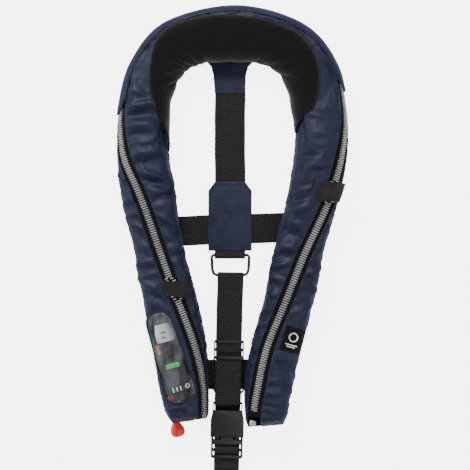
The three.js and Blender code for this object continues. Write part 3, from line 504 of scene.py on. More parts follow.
def crumple(obj, held, frames=16, slack=0.045, pressure=1.1, cap=0.0065, inwards=0.002):
    """Cloth simulation of a panel cut a little too large and held along its sewn edges."""
    rest = np.array([v.co[:] for v in obj.data.vertices])
    group = obj.vertex_groups.new(name="held")
    group.add([int(i) for i in np.flatnonzero(held)], 1.0, "REPLACE")
    cloth = obj.modifiers.new("cloth", "CLOTH")
    cloth.settings.quality = 5
    cloth.settings.mass = 0.15
    cloth.settings.tension_stiffness = 40
    cloth.settings.compression_stiffness = 40
    cloth.settings.shear_stiffness = 12
    cloth.settings.bending_stiffness = 0.25
    cloth.settings.air_damping = 2
    cloth.settings.vertex_group_mass = "held"
    cloth.settings.shrink_min = -slack
    cloth.settings.use_pressure = True
    cloth.settings.uniform_pressure_force = pressure
    cloth.settings.effector_weights.gravity = 0
    cloth.collision_settings.use_collision = False
    cloth.point_cache.frame_start = 1
    cloth.point_cache.frame_end = frames
    for number in range(1, frames + 1):
        bpy.context.scene.frame_set(number)
    graph = bpy.context.evaluated_depsgraph_get()
    moved = np.array([v.co[:] for v in obj.evaluated_get(graph).data.vertices])
    obj.modifiers.clear()
    obj.vertex_groups.clear()
    bpy.context.scene.frame_set(1)
    shift = moved - rest
    length = np.linalg.norm(shift, axis=1, keepdims=True)
    shift *= np.minimum(1, cap / np.maximum(length, 1e-9))
    normals = np.array([v.normal[:] for v in obj.data.vertices])
    sunk = np.minimum((shift * normals).sum(1) + inwards, 0)
    shift -= normals * sunk[:, None]
    obj.data.vertices.foreach_set("co", (rest + shift).ravel())
    obj.data.update()


PANEL_GAP, SHEET = 0.7, 0.0011
LABEL = (0.081, -0.160, 0.027, 0.033, -17)     # x, y, width, length, tilt
WINDOW = (-0.076, -0.1815, 0.0415, 0.1215, 15.5)
WINDOW_CORNER, WINDOW_TAPER = 0.0165, 0.2
INFLATOR = Matrix.Translation((-0.077, -0.183, 0.027)) @ Matrix.Rotation(math.radians(15.3), 4, "Z")
LANYARD_EXIT, EXIT_RADIUS = (-17.2, -81.5, -11.0), 0.0042


def steady(angle):
    """A panel edge that keeps one angle all the way."""
    return lambda t: np.full_like(t, angle)


def spread(edges, counts):
    """Stations over three stretches between the edges, evenly within each."""
    first, middle, last = (np.linspace(a, b, n) for a, b, n in zip(edges, edges[1:], counts))
    return np.concatenate([first[:-1], middle, last[1:]])


def upright(points):
    return np.tile((0, 0, 1.0), (len(points), 1))


def pouch_seam(name, ts, angles, lift, *thread, **size):
    """Stitches along the pouch, a lift in millimetres above its surface."""
    line = on_pouch(ts, angles, -lift)
    normal = line - on_pouch(ts, angles, 3)
    stitch_row(name, line, normal / np.linalg.norm(normal, axis=1, keepdims=True), *thread, **size)


def flatness(points):
    """1 where the window, the label or a garage keeps the cover flat, 0 a little away from them."""
    x, y, width, length, tilt = LABEL
    c, s = math.cos(math.radians(tilt)), math.sin(math.radians(tilt))
    px, py = points[..., 0] - x, points[..., 1] - y
    label = np.maximum(np.abs(px * c + py * s) - width / 2, np.abs(py * c - px * s) - length / 2)
    away = np.minimum(label, window_side(points))
    for place, *_ in GARAGES.values():
        centre = on_pouch(np.array(place), zip_angle(np.array(place)) + 8)
        away = np.minimum(away, np.linalg.norm(points - centre, axis=-1) - 0.018)
    share = np.clip((0.009 - away) / 0.007, 0, 1)
    return share * share * (3 - 2 * share)


def panel(name, ts, low, high, columns, folds, slack):
    """A cover panel: listed folds, then the cloth's wrinkles, both kept off what is sewn flat."""
    folded, t, a = panel_points(ts, low, high, columns, 0.0, folds)
    plain, _, _ = panel_points(ts, low, high, columns, 0.0)
    still = flatness(plain)
    points = plain * still[..., None] + folded * (1 - still[..., None])
    rows = len(ts)
    faces = grid_faces(rows, columns)
    obj = piece(name, points.reshape(-1, 3), faces, NAVY, ROOT, measured(points))
    outward(obj)
    held = still > 0.6
    held[:2] = held[-2:] = held[:, :2] = held[:, -2:] = True
    crumple(obj, held.ravel(), slack=slack)
    return obj


def window_side(points, margin=0.0):
    """Signed distance in metres of plan points from the window's rounded outline, positive outside."""
    x, y, width, length, tilt = WINDOW
    c, s = math.cos(math.radians(tilt)), math.sin(math.radians(tilt))
    px = (points[..., 0] - x) * c + (points[..., 1] - y) * s
    py = -(points[..., 0] - x) * s + (points[..., 1] - y) * c
    px = (px + width / 2) / (1 - WINDOW_TAPER * (py / length + 0.5)) - width / 2
    corner = WINDOW_CORNER
    qx = np.abs(px) - (width / 2 + margin - corner)
    qy = np.abs(py) - (length / 2 + margin - corner)
    outside = np.hypot(np.maximum(qx, 0), np.maximum(qy, 0))
    return outside + np.minimum(np.maximum(qx, qy), 0) - corner


def window_loop(count=160, margin=0.0):
    """Plan points round the window's outline."""
    x, y, width, length, tilt = WINDOW
    corner = WINDOW_CORNER + margin
    sides = []
    for sx, sy, start in ((1, 1, 0), (-1, 1, 90), (-1, -1, 180), (1, -1, 270)):
        centre = (sx * (width / 2 + margin - corner), sy * (length / 2 + margin - corner))
        for k in range(9):
            angle = math.radians(start + 90 * k / 8)
            sides.append((centre[0] + corner * math.cos(angle), centre[1] + corner * math.sin(angle)))
    sides.append(sides[0])
    sides = np.array(sides)
    sides[:, 0] = (sides[:, 0] + width / 2) * (1 - WINDOW_TAPER * (sides[:, 1] / length + 0.5)) - width / 2
    run = np.concatenate([[0], np.cumsum(np.hypot(*np.diff(sides, axis=0).T))])
    at = np.linspace(0, run[-1], count, endpoint=False)
    px, py = np.interp(at, run, sides[:, 0]), np.interp(at, run, sides[:, 1])
    c, s = math.cos(math.radians(tilt)), math.sin(math.radians(tilt))
    return np.stack([x + px * c - py * s, y + px * s + py * c], -1)


def cut_window(obj):
    """Opens the panel along the window's outline with a prism."""
    outline = window_loop(72)
    count = len(outline)
    vertices = [(x, y, z) for z in (0.025, 0.07) for x, y in outline]
    faces = [tuple(range(count))[::-1], tuple(range(count, 2 * count))]
    faces += [(i, (i + 1) % count, count + (i + 1) % count, count + i) for i in range(count)]
    mesh = bpy.data.meshes.new("window_prism")
    mesh.from_pydata(vertices, [], faces)
    prism = bpy.data.objects.new("window_prism", mesh)
    bpy.context.scene.collection.objects.link(prism)
    hole = obj.modifiers.new("window", "BOOLEAN")
    hole.object = prism
    hole.operation = "DIFFERENCE"
    hole.solver = "EXACT"
    apply_modifiers(obj)
    bpy.data.objects.remove(prism)


def pouch_height(xy, ts=(0.4, 3.4), lift=0.0003):
    """Points on the pouch's upper surface above plan points in the left lobe."""
    t, a = np.meshgrid(np.linspace(*ts, 160), np.linspace(12, 150, 90), indexing="ij")
    cloud = on_pouch(t, a).reshape(-1, 3)
    out = []
    for x, y in xy:
        near = np.argsort((cloud[:, 0] - x) ** 2 + (cloud[:, 1] - y) ** 2)[:4]
        weight = 1 / ((cloud[near, 0] - x) ** 2 + (cloud[near, 1] - y) ** 2 + 1e-9)
        out.append((x, y, (cloud[near, 2] * weight).sum() / weight.sum() + lift))
    return np.array(out)


def tube(points, radius, sides=8, closed=False):
    """Vertices and faces of a round tube along points."""
    points = np.asarray(points, float)
    count = len(points)
    if closed:
        along = np.roll(points, -1, 0) - np.roll(points, 1, 0)
    else:
        along = np.gradient(points, axis=0)
    along /= np.linalg.norm(along, axis=1, keepdims=True)
    side = np.cross(along, (0, 0, 1.0))
    flat = np.linalg.norm(side, axis=1) < 1e-3
    side[flat] = (1, 0, 0)
    side /= np.linalg.norm(side, axis=1, keepdims=True)
    top = np.cross(side, along)
    angles = np.linspace(0, 2 * np.pi, sides, endpoint=False)
    radii = np.broadcast_to(np.asarray(radius, float), (count,))
    vertices = (points[:, None] + radii[:, None, None] * (side[:, None] * np.cos(angles)[None, :, None]
                + top[:, None] * np.sin(angles)[None, :, None])).reshape(-1, 3)
    faces = grid_faces(count, sides, wrap=True)
    if closed:
        last = (count - 1) * sides
        faces += [(last + j, j, (j + 1) % sides, last + (j + 1) % sides) for j in range(sides)]
    else:
        faces += [tuple(range(sides))[::-1], tuple(range((count - 1) * sides, count * sides))]
    return vertices, faces


def build_cover():
    rows = 430
    ts = spread((0, 0.3, LAST - 0.3, LAST), (14, rows, 14))
    back_edge, low_edge = steady(180 + BACK_SEAM - SEAM_GAP), steady(-BACK_SEAM + SEAM_GAP)
    inner_edge = lambda t: beside_zip(t, ZIP_HALF + PANEL_GAP)
    outer_edge = lambda t: beside_zip(t, -ZIP_HALF - PANEL_GAP)

    front = panel("cover_front", ts, inner_edge, back_edge, 52, FOLDS_FRONT, 0.034)
    thicken(front, SHEET)
    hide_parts("front_flap")

    left = panel("cover_left_lobe", ts[ts < LAST / 2 - 0.005], low_edge, outer_edge, 48, FOLDS_OUTER, 0.03)
    thicken(left, SHEET)
    cut_window(left)
    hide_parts("left_lobe_panel")
    right = panel("cover_right_lobe", ts[ts > LAST / 2 + 0.005], low_edge, outer_edge, 42, FOLDS_OUTER, 0.034)
    thicken(right, SHEET)
    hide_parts("right_lobe_panel")

    back_points, _, _ = panel_points(ts, steady(BACK_SEAM - 180.0), steady(-BACK_SEAM), 34, 0.0)
    back = surface("cover_back", back_points, NAVY, SHEET, up=False)
    hole_in_back(back)
    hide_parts("back_panel")

    for name, distance in (("inner", ZIP_HALF + 2.2), ("outer", -ZIP_HALF - 2.2)):
        stations = np.linspace(0.1, LAST - 0.1, 900)
        pouch_seam(f"zip_seam_{name}", stations, beside_zip(stations, distance), 0.15, width=0.0006)


def hole_in_back(back):
    """Drops the faces of the back panel round the lanyard's exit."""
    centre = INFLATOR @ (Vector(LANYARD_EXIT) * MM)
    made = bmesh.new()
    made.from_mesh(back.data)
    near = [f for f in made.faces if (f.calc_center_median() - centre).length < EXIT_RADIUS]
    bmesh.ops.delete(made, geom=near, context="FACES")
    made.to_mesh(back.data)
    made.free()


# Gathers of the collar: station, width (stations), depth (mm), share of the collar's width where it starts.
GATHERS = [(7.6, 0.09, 5.2, 0.25), (8.05, 0.1, 6.4, 0.2), (8.45, 0.09, 6.0, 0.25), (8.8, 0.08, 4.4, 0.35),
           (9.15, 0.08, 3.2, 0.4), (10.9, 0.08, 2.8, 0.45), (11.5, 0.1, 4.0, 0.35), (12.1, 0.1, 3.6, 0.3)]


def build_collar():
    """Brushed fleece with gathered folds running in towards the neck."""
    ts = spread((6, 6.3, 13.35, 13.6), (10, 260, 8))
    columns = 60
    share = np.linspace(0, 1, columns)[None, :]
    t = ts[:, None] * np.ones_like(share)
    rim = 196 - 16 * np.clip(1 - np.minimum(ts - 6, 13.6 - ts) / 0.6, 0, 1)[:, None]
    a = collar_angle(ts)[:, None] * (1 - share) + rim * share
    gathers = np.zeros_like(t)
    for station, width, deep, start in GATHERS:
        fan = station + (share - 0.6) * (station - 9.9) * -0.22
        valley = np.exp(-np.abs((t - fan) / width) ** 1.4)
        gathers += deep * valley * np.clip((share - start) / 0.25, 0, 1)
    tips = np.clip(np.minimum(t - 6, 13.6 - t) / 0.5, 0, 1) ** 0.7
    edge = np.minimum(1, 14 * np.minimum(share, 1 - share)) ** 0.5 * tips
    loft = 2.4 * edge + 0.5 * np.sin(t * 9.1 + a * 0.05) * edge
    fade = np.clip(5 * (1 - share), 0, 1) * tips
    points = on_pouch(t, a, -1.0 * tips - 0.3 - loft + gathers * fade)
    obj = surface("fleece_collar", points, FLEECE, 0.0022)
    smooth = obj.modifiers.new("smooth", "SUBSURF")
    smooth.levels = smooth.render_levels = 1
    apply_modifiers(obj)
    obj.data.shade_smooth()
    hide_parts("collar_lining")
    pouch_seam("collar_seam", ts, collar_angle(ts) + 2.6, 3.4, BLACK_THREAD, "black_fleece")


def build_bladder():
    """Folded, coated bladder with pleats along it; it lies low under the inflator and the oral tube."""
    rows, columns = 260, 72
    ts = np.linspace(1.25, 19.3, rows)
    a = np.linspace(0, 360, columns, endpoint=False)[None, :] * np.ones((rows, 1))
    t = ts[:, None] * np.ones((1, columns))
    low_from, low_to = np.where(t < 10, 3.35, 16.7), np.where(t < 10, 3.85, 16.2)
    fill = np.clip((t - low_from) / (low_to - low_from), 0, 1)
    pleats = 1.3 * np.sin(np.radians(a * 7)) + 0.5 * np.sin(t * 9 + a * 0.03)
    points = on_pouch(t, a, 8.5 + 1.5 * (1 - fill) + pleats)
    high = np.where(t < 10, 13.2, 16.9) * (1 - fill) + 34 * fill
    points[..., 2] = np.minimum(points[..., 2], (high + 0.3 * np.sin(t * 21 + a * 0.12)) * MM)
    faces = grid_faces(rows, columns, wrap=True)
    faces += [tuple(range(columns))[::-1], tuple(range((rows - 1) * columns, rows * columns))]
    uv = measured(points)
    folded = face_out(piece("folded_bladder", points.reshape(-1, 3), faces, COATED, uv=uv))
    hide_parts("bladder")


def disc(name, rings, look, thickness):
    """A sheet through closed rings of points, from its rim to its middle."""
    count = rings.shape[1]
    faces = grid_faces(len(rings), count, wrap=True)
    faces.append(tuple(range((len(rings) - 1) * count, len(rings) * count))[::-1])
    obj = piece(name, rings.reshape(-1, 3), faces, look, uv=rings.reshape(-1, 3)[:, :2])
    outward(obj)
    thicken(obj, thickness)
    return obj


LINING_MARGIN, LINING_LOW = 0.0012, 0.0141


def build_lining():
    """Black cloth behind the window, under and round the inflator."""
    x, y, _, _, tilt = WINDOW
    outline = window_loop(140, LINING_MARGIN)
    centre = outline.mean(axis=0)
    plan = np.array([centre + (outline - centre) * share for share in np.linspace(1, 0.03, 40)])
    turn = math.radians(tilt)
    along = (plan[..., 1] - y) * math.cos(turn) - (plan[..., 0] - x) * math.sin(turn)
    rise = np.clip((along - 0.047) / 0.022, 0, 1) ** 2 * 0.02
    slack = 0.0004 * np.sin(plan[..., 0] * 380) * np.sin(plan[..., 1] * 210 + 1)
    disc("window_lining", np.dstack([plan, LINING_LOW + rise + slack]), TAPE, 0.0004)


def build_zip_guard():
    """A narrow navy flap that hides the zip round the neck."""
    ts = np.linspace(6.75, 12.6, 220)
    share = np.linspace(0, 1, 12)[None, :]
    ends = np.clip(np.minimum(ts - ts[0], ts[-1] - ts) / 0.35, 0, 1) ** 0.5
    low = beside_zip(ts, -11.5)[:, None]
    high = (zip_angle(ts) + degrees_for(ts, zip_angle(ts), 1.0) * (11.0 * ends - 4 * (1 - ends)))[:, None]
    a = low * (1 - share) + high * share
    t = ts[:, None] * np.ones_like(share)
    bulge = 3.6 * np.sin(np.pi * np.clip(share * 0.9 + 0.05, 0, 1)) ** 0.6
    points = on_pouch(t, a, -0.5 - bulge * (0.75 + 0.25 * ends[:, None]))
    surface("zip_guard", points, NAVY, 0.001)
    seam = on_pouch(ts, beside_zip(ts, -11.0), -1.4)
    stitch_row("zip_guard_seam", seam, normals_of(points)[:, 0])


# ---- zip ---------------------------------------------------------------------------------------------

GARAGES = {"left": (3.13, 12.0, 23.0, 10.5), "right": (14.72, 10.0, 21.0, 13.0)}
PARTED = 2.9


def parting(t):
    """Extra opening, in millimetres, between the rows of teeth round each slider."""
    opening = np.zeros_like(np.asarray(t, float))
    for place, *_ in GARAGES.values():
        away = np.abs(t - place) * speed(np.array(place)) / MM
        opening = np.maximum(opening, np.clip((16 - away) / 3, 0, 1) * PARTED)
    return opening


def beside_zip_line(t, sign, distance):
    angle = zip_angle(t)
    offset = distance + parting(t)
    unit = degrees_for(t, angle, float(sign))
    return angle + unit * offset


def build_zip():
    ts = np.linspace(0.05, LAST - ZIP_END, 1100)
    for name, sign in (("inner", 1), ("outer", -1)):
        share = np.linspace(0, 1, 9)[None, :]
        near = beside_zip_line(ts, sign, 0.15)[:, None]
        far = beside_zip(ts, sign * (ZIP_HALF + 2.0))[:, None]
        a = near * (1 - share) + far * share
        points = on_pouch(ts[:, None] * np.ones_like(share), a, 0.9 + 0.5 * share)
        cord = 0.35 * np.exp(-((share - 0.08) / 0.06) ** 2)
        points[..., 2] += cord * MM
        tape = surface(f"zip_tape_{name}_cloth", points, TAPE, 0.0006)
        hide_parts(f"zip_tape_{name}")
    share = np.linspace(0, 1, 7)[None, :]
    a = beside_zip(ts, -6.0)[:, None] * (1 - share) + beside_zip(ts, 6.0)[:, None] * share
    surface("zip_backing", on_pouch(ts[:, None] * np.ones_like(share), a, 2.6), TAPE, 0.0005)
    build_teeth()


def build_teeth():
    """Moulded teeth that mesh alternately along the middle of the zip."""
    fine = np.linspace(0.06, LAST - ZIP_END - 0.02, 4000)
    line = on_pouch(fine, zip_angle(fine))
    run = np.concatenate([[0], np.cumsum(np.linalg.norm(np.diff(line, axis=0), axis=1))]) / MM
    for name, sign, shift in (("inner", 1, 0.0), ("outer", -1, 0.5)):
        parts = []
        count = int(run[-1] / TOOTH_PITCH) - 1
        ts = np.interp((np.arange(count) + shift) * TOOTH_PITCH, run, fine)
        ahead = ts + 0.01
        open_by = parting(ts)
        row = zip_angle(ts) + degrees_for(ts, zip_angle(ts), float(sign)) * (2.0 + open_by)
        base = on_pouch(ts, row, -0.35)
        middle = on_pouch(ts, zip_angle(ts), -0.35)
        along = on_pouch(ahead, zip_angle(ahead)) - on_pouch(ts, zip_angle(ts))
        along /= np.linalg.norm(along, axis=1, keepdims=True)
        out = base - on_pouch(ts, row, 2)
        out /= np.linalg.norm(out, axis=1, keepdims=True)
        for k in range(count):
            side = np.cross(out[k], along[k])
            if side @ (middle[k] - base[k]) < 0:
                side = -side
            axes = (side, along[k], out[k])
            head = base[k] + side * 1.0 * MM
            parts.append(brick(base[k] - side * 1.1 * MM, axes, (2.6 * MM, 1.5 * MM, 2.0 * MM), 0.82))
            parts.append(brick(head, axes, (2.6 * MM, 1.95 * MM, 1.9 * MM), 0.72))
        teeth = joined(f"zip_teeth_{name}_row", parts, TOOTH)
        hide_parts(f"zip_teeth_{name}")


def build_garage(side):
    """Rounded fabric flap with a folded rim, arched over its slider."""
    place, outward_mm, inward, half = GARAGES[side]
    unit = 1 / (speed(np.array(place)) / MM)
    ts = np.linspace(place - half * unit, place + half * unit, 60)
    away = np.abs(ts - place) / (half * unit)
    reach = inward - 8 * (1 - np.sqrt(1 - 0.96 * np.minimum(away, 1) ** 2))
    angle = zip_angle(ts)
    low = angle + degrees_for(ts, angle, -1.0) * outward_mm
    high = angle + degrees_for(ts, angle, 1.0) * reach
    share = np.linspace(0, 1, 60)[None, :]
    a = low[:, None] * (1 - share) + high[:, None] * share
    t = ts[:, None] * np.ones_like(share)
    spread = np.abs(degrees_for(t, angle[:, None], 13.5))
    across = np.clip(np.abs((a - angle[:, None]) / spread), 0, 1)
    arch = 7.0 * (1 - across ** 4) ** 0.8
    ripple = 0.3 * np.sin(a * 0.09 + t * 11)
    points = on_pouch(t, a, -0.3 - 1.25 - arch - ripple * np.clip(6 * np.minimum(share, 1 - share), 0, 1))
    obj = surface(f"zip_garage_{side}", points, CANVAS, 0.0013, f"flap_{side}")
    bevel = obj.modifiers.new("edge", "BEVEL")
    bevel.width = 0.0004
    bevel.segments = 2
    apply_modifiers(obj)
    obj.data.shade_smooth()
    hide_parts(f"garage_flap_{side}")
    seam = points[:, 3]
    lift = normals_of(points)[:, 3]
    if lift[:, 2].mean() < 0:
        lift = -lift
    stitch_row(f"garage_seam_{side}", seam, lift, BLACK_THREAD, "charcoal_fabric", f"flap_{side}", 0.003)


# ---- window -----------------------------------------------------------------------------------------

def build_window():
    """Clear vinyl pane bound into the left lobe with a row of stitches."""
    outline = window_loop(120, -0.0005)
    rings = []
    centre = outline.mean(axis=0)
    for share in np.linspace(1, 0.04, 16):
        rings.append(pouch_height(centre + (outline - centre) * share, lift=-0.0006))
    pane = disc("window_pane", np.array(rings), CLEAR, 0.0006)
    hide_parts("window")
    rim = pouch_height(window_loop(160, 0.0002), lift=0.0003)
    vertices, faces = tube(rim, 0.0008, 8, closed=True)
    piece("window_binding", vertices, faces, NAVY, uv=np.zeros((len(vertices), 2)))
    seam = pouch_height(window_loop(220, 0.0024), lift=0.0004)
    seam = np.vstack([seam, seam[:1]])
    stitch_row("window_seam", seam, upright(seam))


# ---- webbing -----------------------------------------------------------------------------------------

def rounded_path(points, radius=2.0, steps=4):
    """Rounds the corners of a path of points [y, z], in millimetres."""
    points = [np.array(p, float) for p in points]
    out = [points[0]]
    for before, here, after in zip(points, points[1:], points[2:]):
        back, ahead = before - here, after - here
        reach = min(radius, 0.45 * np.linalg.norm(back), 0.45 * np.linalg.norm(ahead))
        start = here + back / max(np.linalg.norm(back), 1e-9) * reach
        end = here + ahead / max(np.linalg.norm(ahead), 1e-9) * reach
        for w in np.linspace(0, 1, steps):
            out.append((1 - w) ** 2 * start + 2 * w * (1 - w) * here + w ** 2 * end)
    out.append(points[-1])
    return np.array(out)


def band(name, path, width, thick, place, look=None, body=ROOT, wavy=0.25):
    """Webbing with rolled selvedges along a path [y, z] in millimetres, then placed by a matrix."""
    path = rounded_path(path)
    dense = [path[0]]
    for a, b in zip(path, path[1:]):
        steps = max(int(np.linalg.norm(b - a) / 4), 1)
        dense.extend(a + (b - a) * k / steps for k in range(1, steps + 1))
    path = np.array(dense)
    along = np.gradient(path, axis=0)
    along /= np.maximum(np.linalg.norm(along, axis=1, keepdims=True), 1e-9)
    normal = np.stack([-along[:, 1], along[:, 0]], -1)
    run = np.concatenate([[0], np.cumsum(np.linalg.norm(np.diff(path, axis=0), axis=1))])
    half, r = width / 2, thick / 2
    profile = [(-half, 0.0), (-half + 0.25, 0.75 * r), (-half + 1.0, r), (-half + 3, 0.93 * r), (0, r),
               (half - 3, 0.93 * r), (half - 1.0, r), (half - 0.25, 0.75 * r), (half, 0.0)]
    loop = profile + [(px, -pz) for px, pz in profile[-2:0:-1]]
    vertices, uv = [], []
    for p, n, s in zip(path, normal, run):
        sway = wavy * (math.sin(s * 0.045) + 0.5 * math.sin(s * 0.13 + 1))
        for px, pz in loop:
            vertices.append((px + sway, p[0] + n[0] * pz, p[1] + n[1] * pz))
            uv.append(((px + half) * MM, s * MM))
    count = len(loop)
    faces = grid_faces(len(path), count, wrap=True)
    faces += [tuple(range(count))[::-1], tuple(range((len(path) - 1) * count, len(path) * count))]
    vertices = [place @ (Vector(v) * MM) for v in vertices]
    return face_out(piece(name, vertices, faces, look or WEB, body, uv))


def turn_round(y, z, radius, start, end, steps=10):
    """Points [y, z] round an arc between two angles."""
    angles = [math.radians(start + (end - start) * k / steps) for k in range(steps + 1)]
    return [(y + radius * math.cos(angle), z + radius * math.sin(angle)) for angle in angles]


def placed(x, y, degrees):
    """Turns about Z, then moves to a plan point in metres."""
    return Matrix.Translation((x, y, 0)) @ Matrix.Rotation(math.radians(degrees), 4, "Z")


def along_path(path, steps):
    """Points along each side of a path."""
    sides = [(np.array(a, float), np.array(b, float)) for a, b in zip(path, path[1:])]
    return [a + (b - a) * k / steps for a, b in sides for k in range(steps)]


BELT_THICK, BELT_LOW, BELT_WIDTH, LAYER = 1.6, 1.1, 40.0, 0.3
RING_Y, RING_X, RING_HEIGHT, RING_BAR = -64.5, 0.5, 26.0, 2.2
COLUMN_Y, COLUMN_TILT = -0.076, -1.2
COLUMN = placed(RING_X * MM, COLUMN_Y, COLUMN_TILT) @ Matrix.Translation((0, -COLUMN_Y, 0))
CROTCH_WIDTH, CROTCH_THICK = 34.0, 1.5
GLIDE_Y, GLIDE_Z, GLIDE_LENGTH, GLIDE_BAR, GLIDE_HEIGHT = -174.5, 14.4, 25.0, 4.0, 2.4
BUCKLE_MOUTH, BUCKLE_Z, BUCKLE_LENGTH, BUCKLE_BAR = -288.0, 17.0, 45.5, 1.4
LADDER_LENGTH, LADDER_BAR, LADDER_HEIGHT = 28.0, 4.0, 3.0
STEEL_Y, STEEL_Z, STEEL_ROD, STEEL_LEFT, STEEL_RIGHT = -207.5, 4.6, 1.5, -21.0, 17.0


def weave(y, z, length, bar, height):
    lift = height / 2 + 0.4 + CROTCH_THICK / 2
    edge = length / 2 - bar
    return [(y + edge + bar, z - lift), (y + edge, z - lift), (y + bar / 2, z + lift),
            (y - bar / 2, z + lift), (y - edge, z - lift), (y - edge - bar, z - lift)]


def cross_stitches(name, centre, size, place, body=ROOT):
    """A sewn box with a cross in it, as webbing is joined."""
    (cx, cy, cz), (w, h) = centre, size
    corners = [(-w, -h), (w, -h), (w, h), (-w, h), (-w, -h), (w, h)], [(-w, h), (w, -h)]
    for number, path in enumerate(corners):
        points = [place @ (Vector((cx + x, cy + y, cz)) * MM) for x, y in along_path(path, 12)]
        stitch_row(f"{name}_{number}", np.array([p[:] for p in points]), upright(points),
                   BLACK_THREAD, "black_webbing", body, 0.0026, 0.0007)


def build_back_webbing():
    low = BELT_LOW + BELT_THICK / 2
    bar = RING_Y + RING_HEIGHT / 2
    radius = RING_BAR + 0.6 + BELT_THICK / 2
    folded = low + BELT_THICK + LAYER
    path = [(208, low), (bar + 5, low), *turn_round(bar, low + radius, radius, 270, 40),
            (bar + 6, folded - 0.1), (bar + 11.5, folded - 0.1)]
    strap = band("back_strap_webbing", path, BELT_WIDTH, BELT_THICK, placed(0, 0, 0))
    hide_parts("back_strap")


def build_crotch_webbing():
    bottom = RING_Y - RING_HEIGHT / 2
    high = BELT_LOW + BELT_THICK + RING_BAR + 0.6 + 3.4
    radius = RING_BAR + 0.6 + CROTCH_THICK / 2
    end = BUCKLE_MOUTH + BUCKLE_LENGTH - BUCKLE_BAR
    end_radius = BUCKLE_BAR * math.sqrt(2) + 0.3 + CROTCH_THICK / 2
    path = [(bottom - 30, high - 1.6), (bottom - 7, high - 1.6), *turn_round(bottom, high, radius, -100, 100),
            (bottom - 14, high + 2.2), *weave(GLIDE_Y, GLIDE_Z, GLIDE_LENGTH, GLIDE_BAR, GLIDE_HEIGHT),
            (GLIDE_Y - 22, 16), (end + 10, BUCKLE_Z + end_radius),
            *turn_round(end, BUCKLE_Z, end_radius, 90, 270),
            (end + 10, BUCKLE_Z - end_radius + 0.2), (GLIDE_Y - 16, 10.6)]
    strap = band("crotch_webbing", path, CROTCH_WIDTH, CROTCH_THICK, COLUMN)
    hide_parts("crotch_strap")
    cross_stitches("crotch_stitch_top", (0, bottom - 22, high + 3.3), (13.5, 6), COLUMN)
    for offset in (-24, -26):
        y = GLIDE_Y + offset
        row = [COLUMN @ (Vector((-15 + 30 * k / 12, y, 16.9)) * MM) for k in range(13)]
        stitch_row(f"crotch_bar_tack{-offset}", np.array([p[:] for p in row]), upright(row),
                   BLACK_THREAD, "black_webbing", ROOT, 0.0024, 0.0008)


def build_lower_webbing():
    middle = BUCKLE_MOUTH - 6 - (LADDER_LENGTH - 6) / 2
    bend, low = -347.0, 0.3 + CROTCH_THICK / 2
    loop_top = STEEL_Y + BELT_WIDTH / 2 + 34
    path = [*weave(middle, BUCKLE_Z, LADDER_LENGTH - 6, LADDER_BAR, LADDER_HEIGHT)[1:], (middle - 22, 12),
            (bend + 14, 3.2 + low), (bend + 4, 3.1 + low), *turn_round(bend + 3, low + 1.5, 1.5, 90, 270),
            (bend + 20, low), (loop_top, low), *turn_round(loop_top, low + 4, 4, 270, 450),
            (loop_top - 2, low + 8), (STEEL_Y - BELT_WIDTH / 2 - 32, low + 8.1),
            (STEEL_Y - 66, low + 2.2), (STEEL_Y - 84, low + 2)]
    strap = band("crotch_webbing_lower", path, CROTCH_WIDTH - 1, CROTCH_THICK, COLUMN, body="buckle_half")
    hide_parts("crotch_strap_lower")


def flat_run(name, start, end, z, width=BELT_WIDTH - 1):
    """Straight belt between two plan points in millimetres."""
    start, end = np.array(start, float), np.array(end, float)
    length = np.linalg.norm(end - start)
    angle = math.atan2(*(end - start)[::-1])
    place = placed(start[0] * MM, start[1] * MM, math.degrees(angle) - 90)
    return band(name, [(0, z), (length, z)], width, BELT_THICK, place)


def build_waist_belt():
    ground = BELT_LOW + BELT_THICK / 2
    over = ground + BELT_THICK + LAYER
    folded = ground + BELT_THICK + 0.02
    edge = 57 / 2
    path = [(-edge - 85, ground), (-edge - 8, ground), (-edge - 1, over),
            (edge + 1, over), (edge + 8, ground), (edge + 85, ground)]
    across = band("waist_belt_across", path, BELT_WIDTH - 1, BELT_THICK, placed(0, -0.0172, 2 - 90))
    pieces = [across,
              flat_run("waist_belt_left_run", (-98, -6), (-62, STEEL_Y - 19), folded),
              flat_run("waist_belt_right_run", (96, 3), (50, STEEL_Y - 19), folded)]
    loop = turn_round(6, STEEL_Z, STEEL_ROD + 0.3 + BELT_THICK / 2, 270, 450)
    for name, bar, sign, far in (("left", STEEL_LEFT, 1, -82), ("right", STEEL_RIGHT, -1, 69)):
        start = bar - sign * 6
        reach = abs(far - start)
        path = [(-reach, ground), (2, ground), *loop, (1, STEEL_Z + 2.4), (-4, STEEL_Z + 1.6)]
        place = placed(start * MM, STEEL_Y * MM, -sign * 90)
        pieces.append(band(f"waist_belt_front_{name}", path, BELT_WIDTH - 1, BELT_THICK, place))
    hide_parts("waist_belt")


# ---- sewn patches ---------------------------------------------------------------------------------------

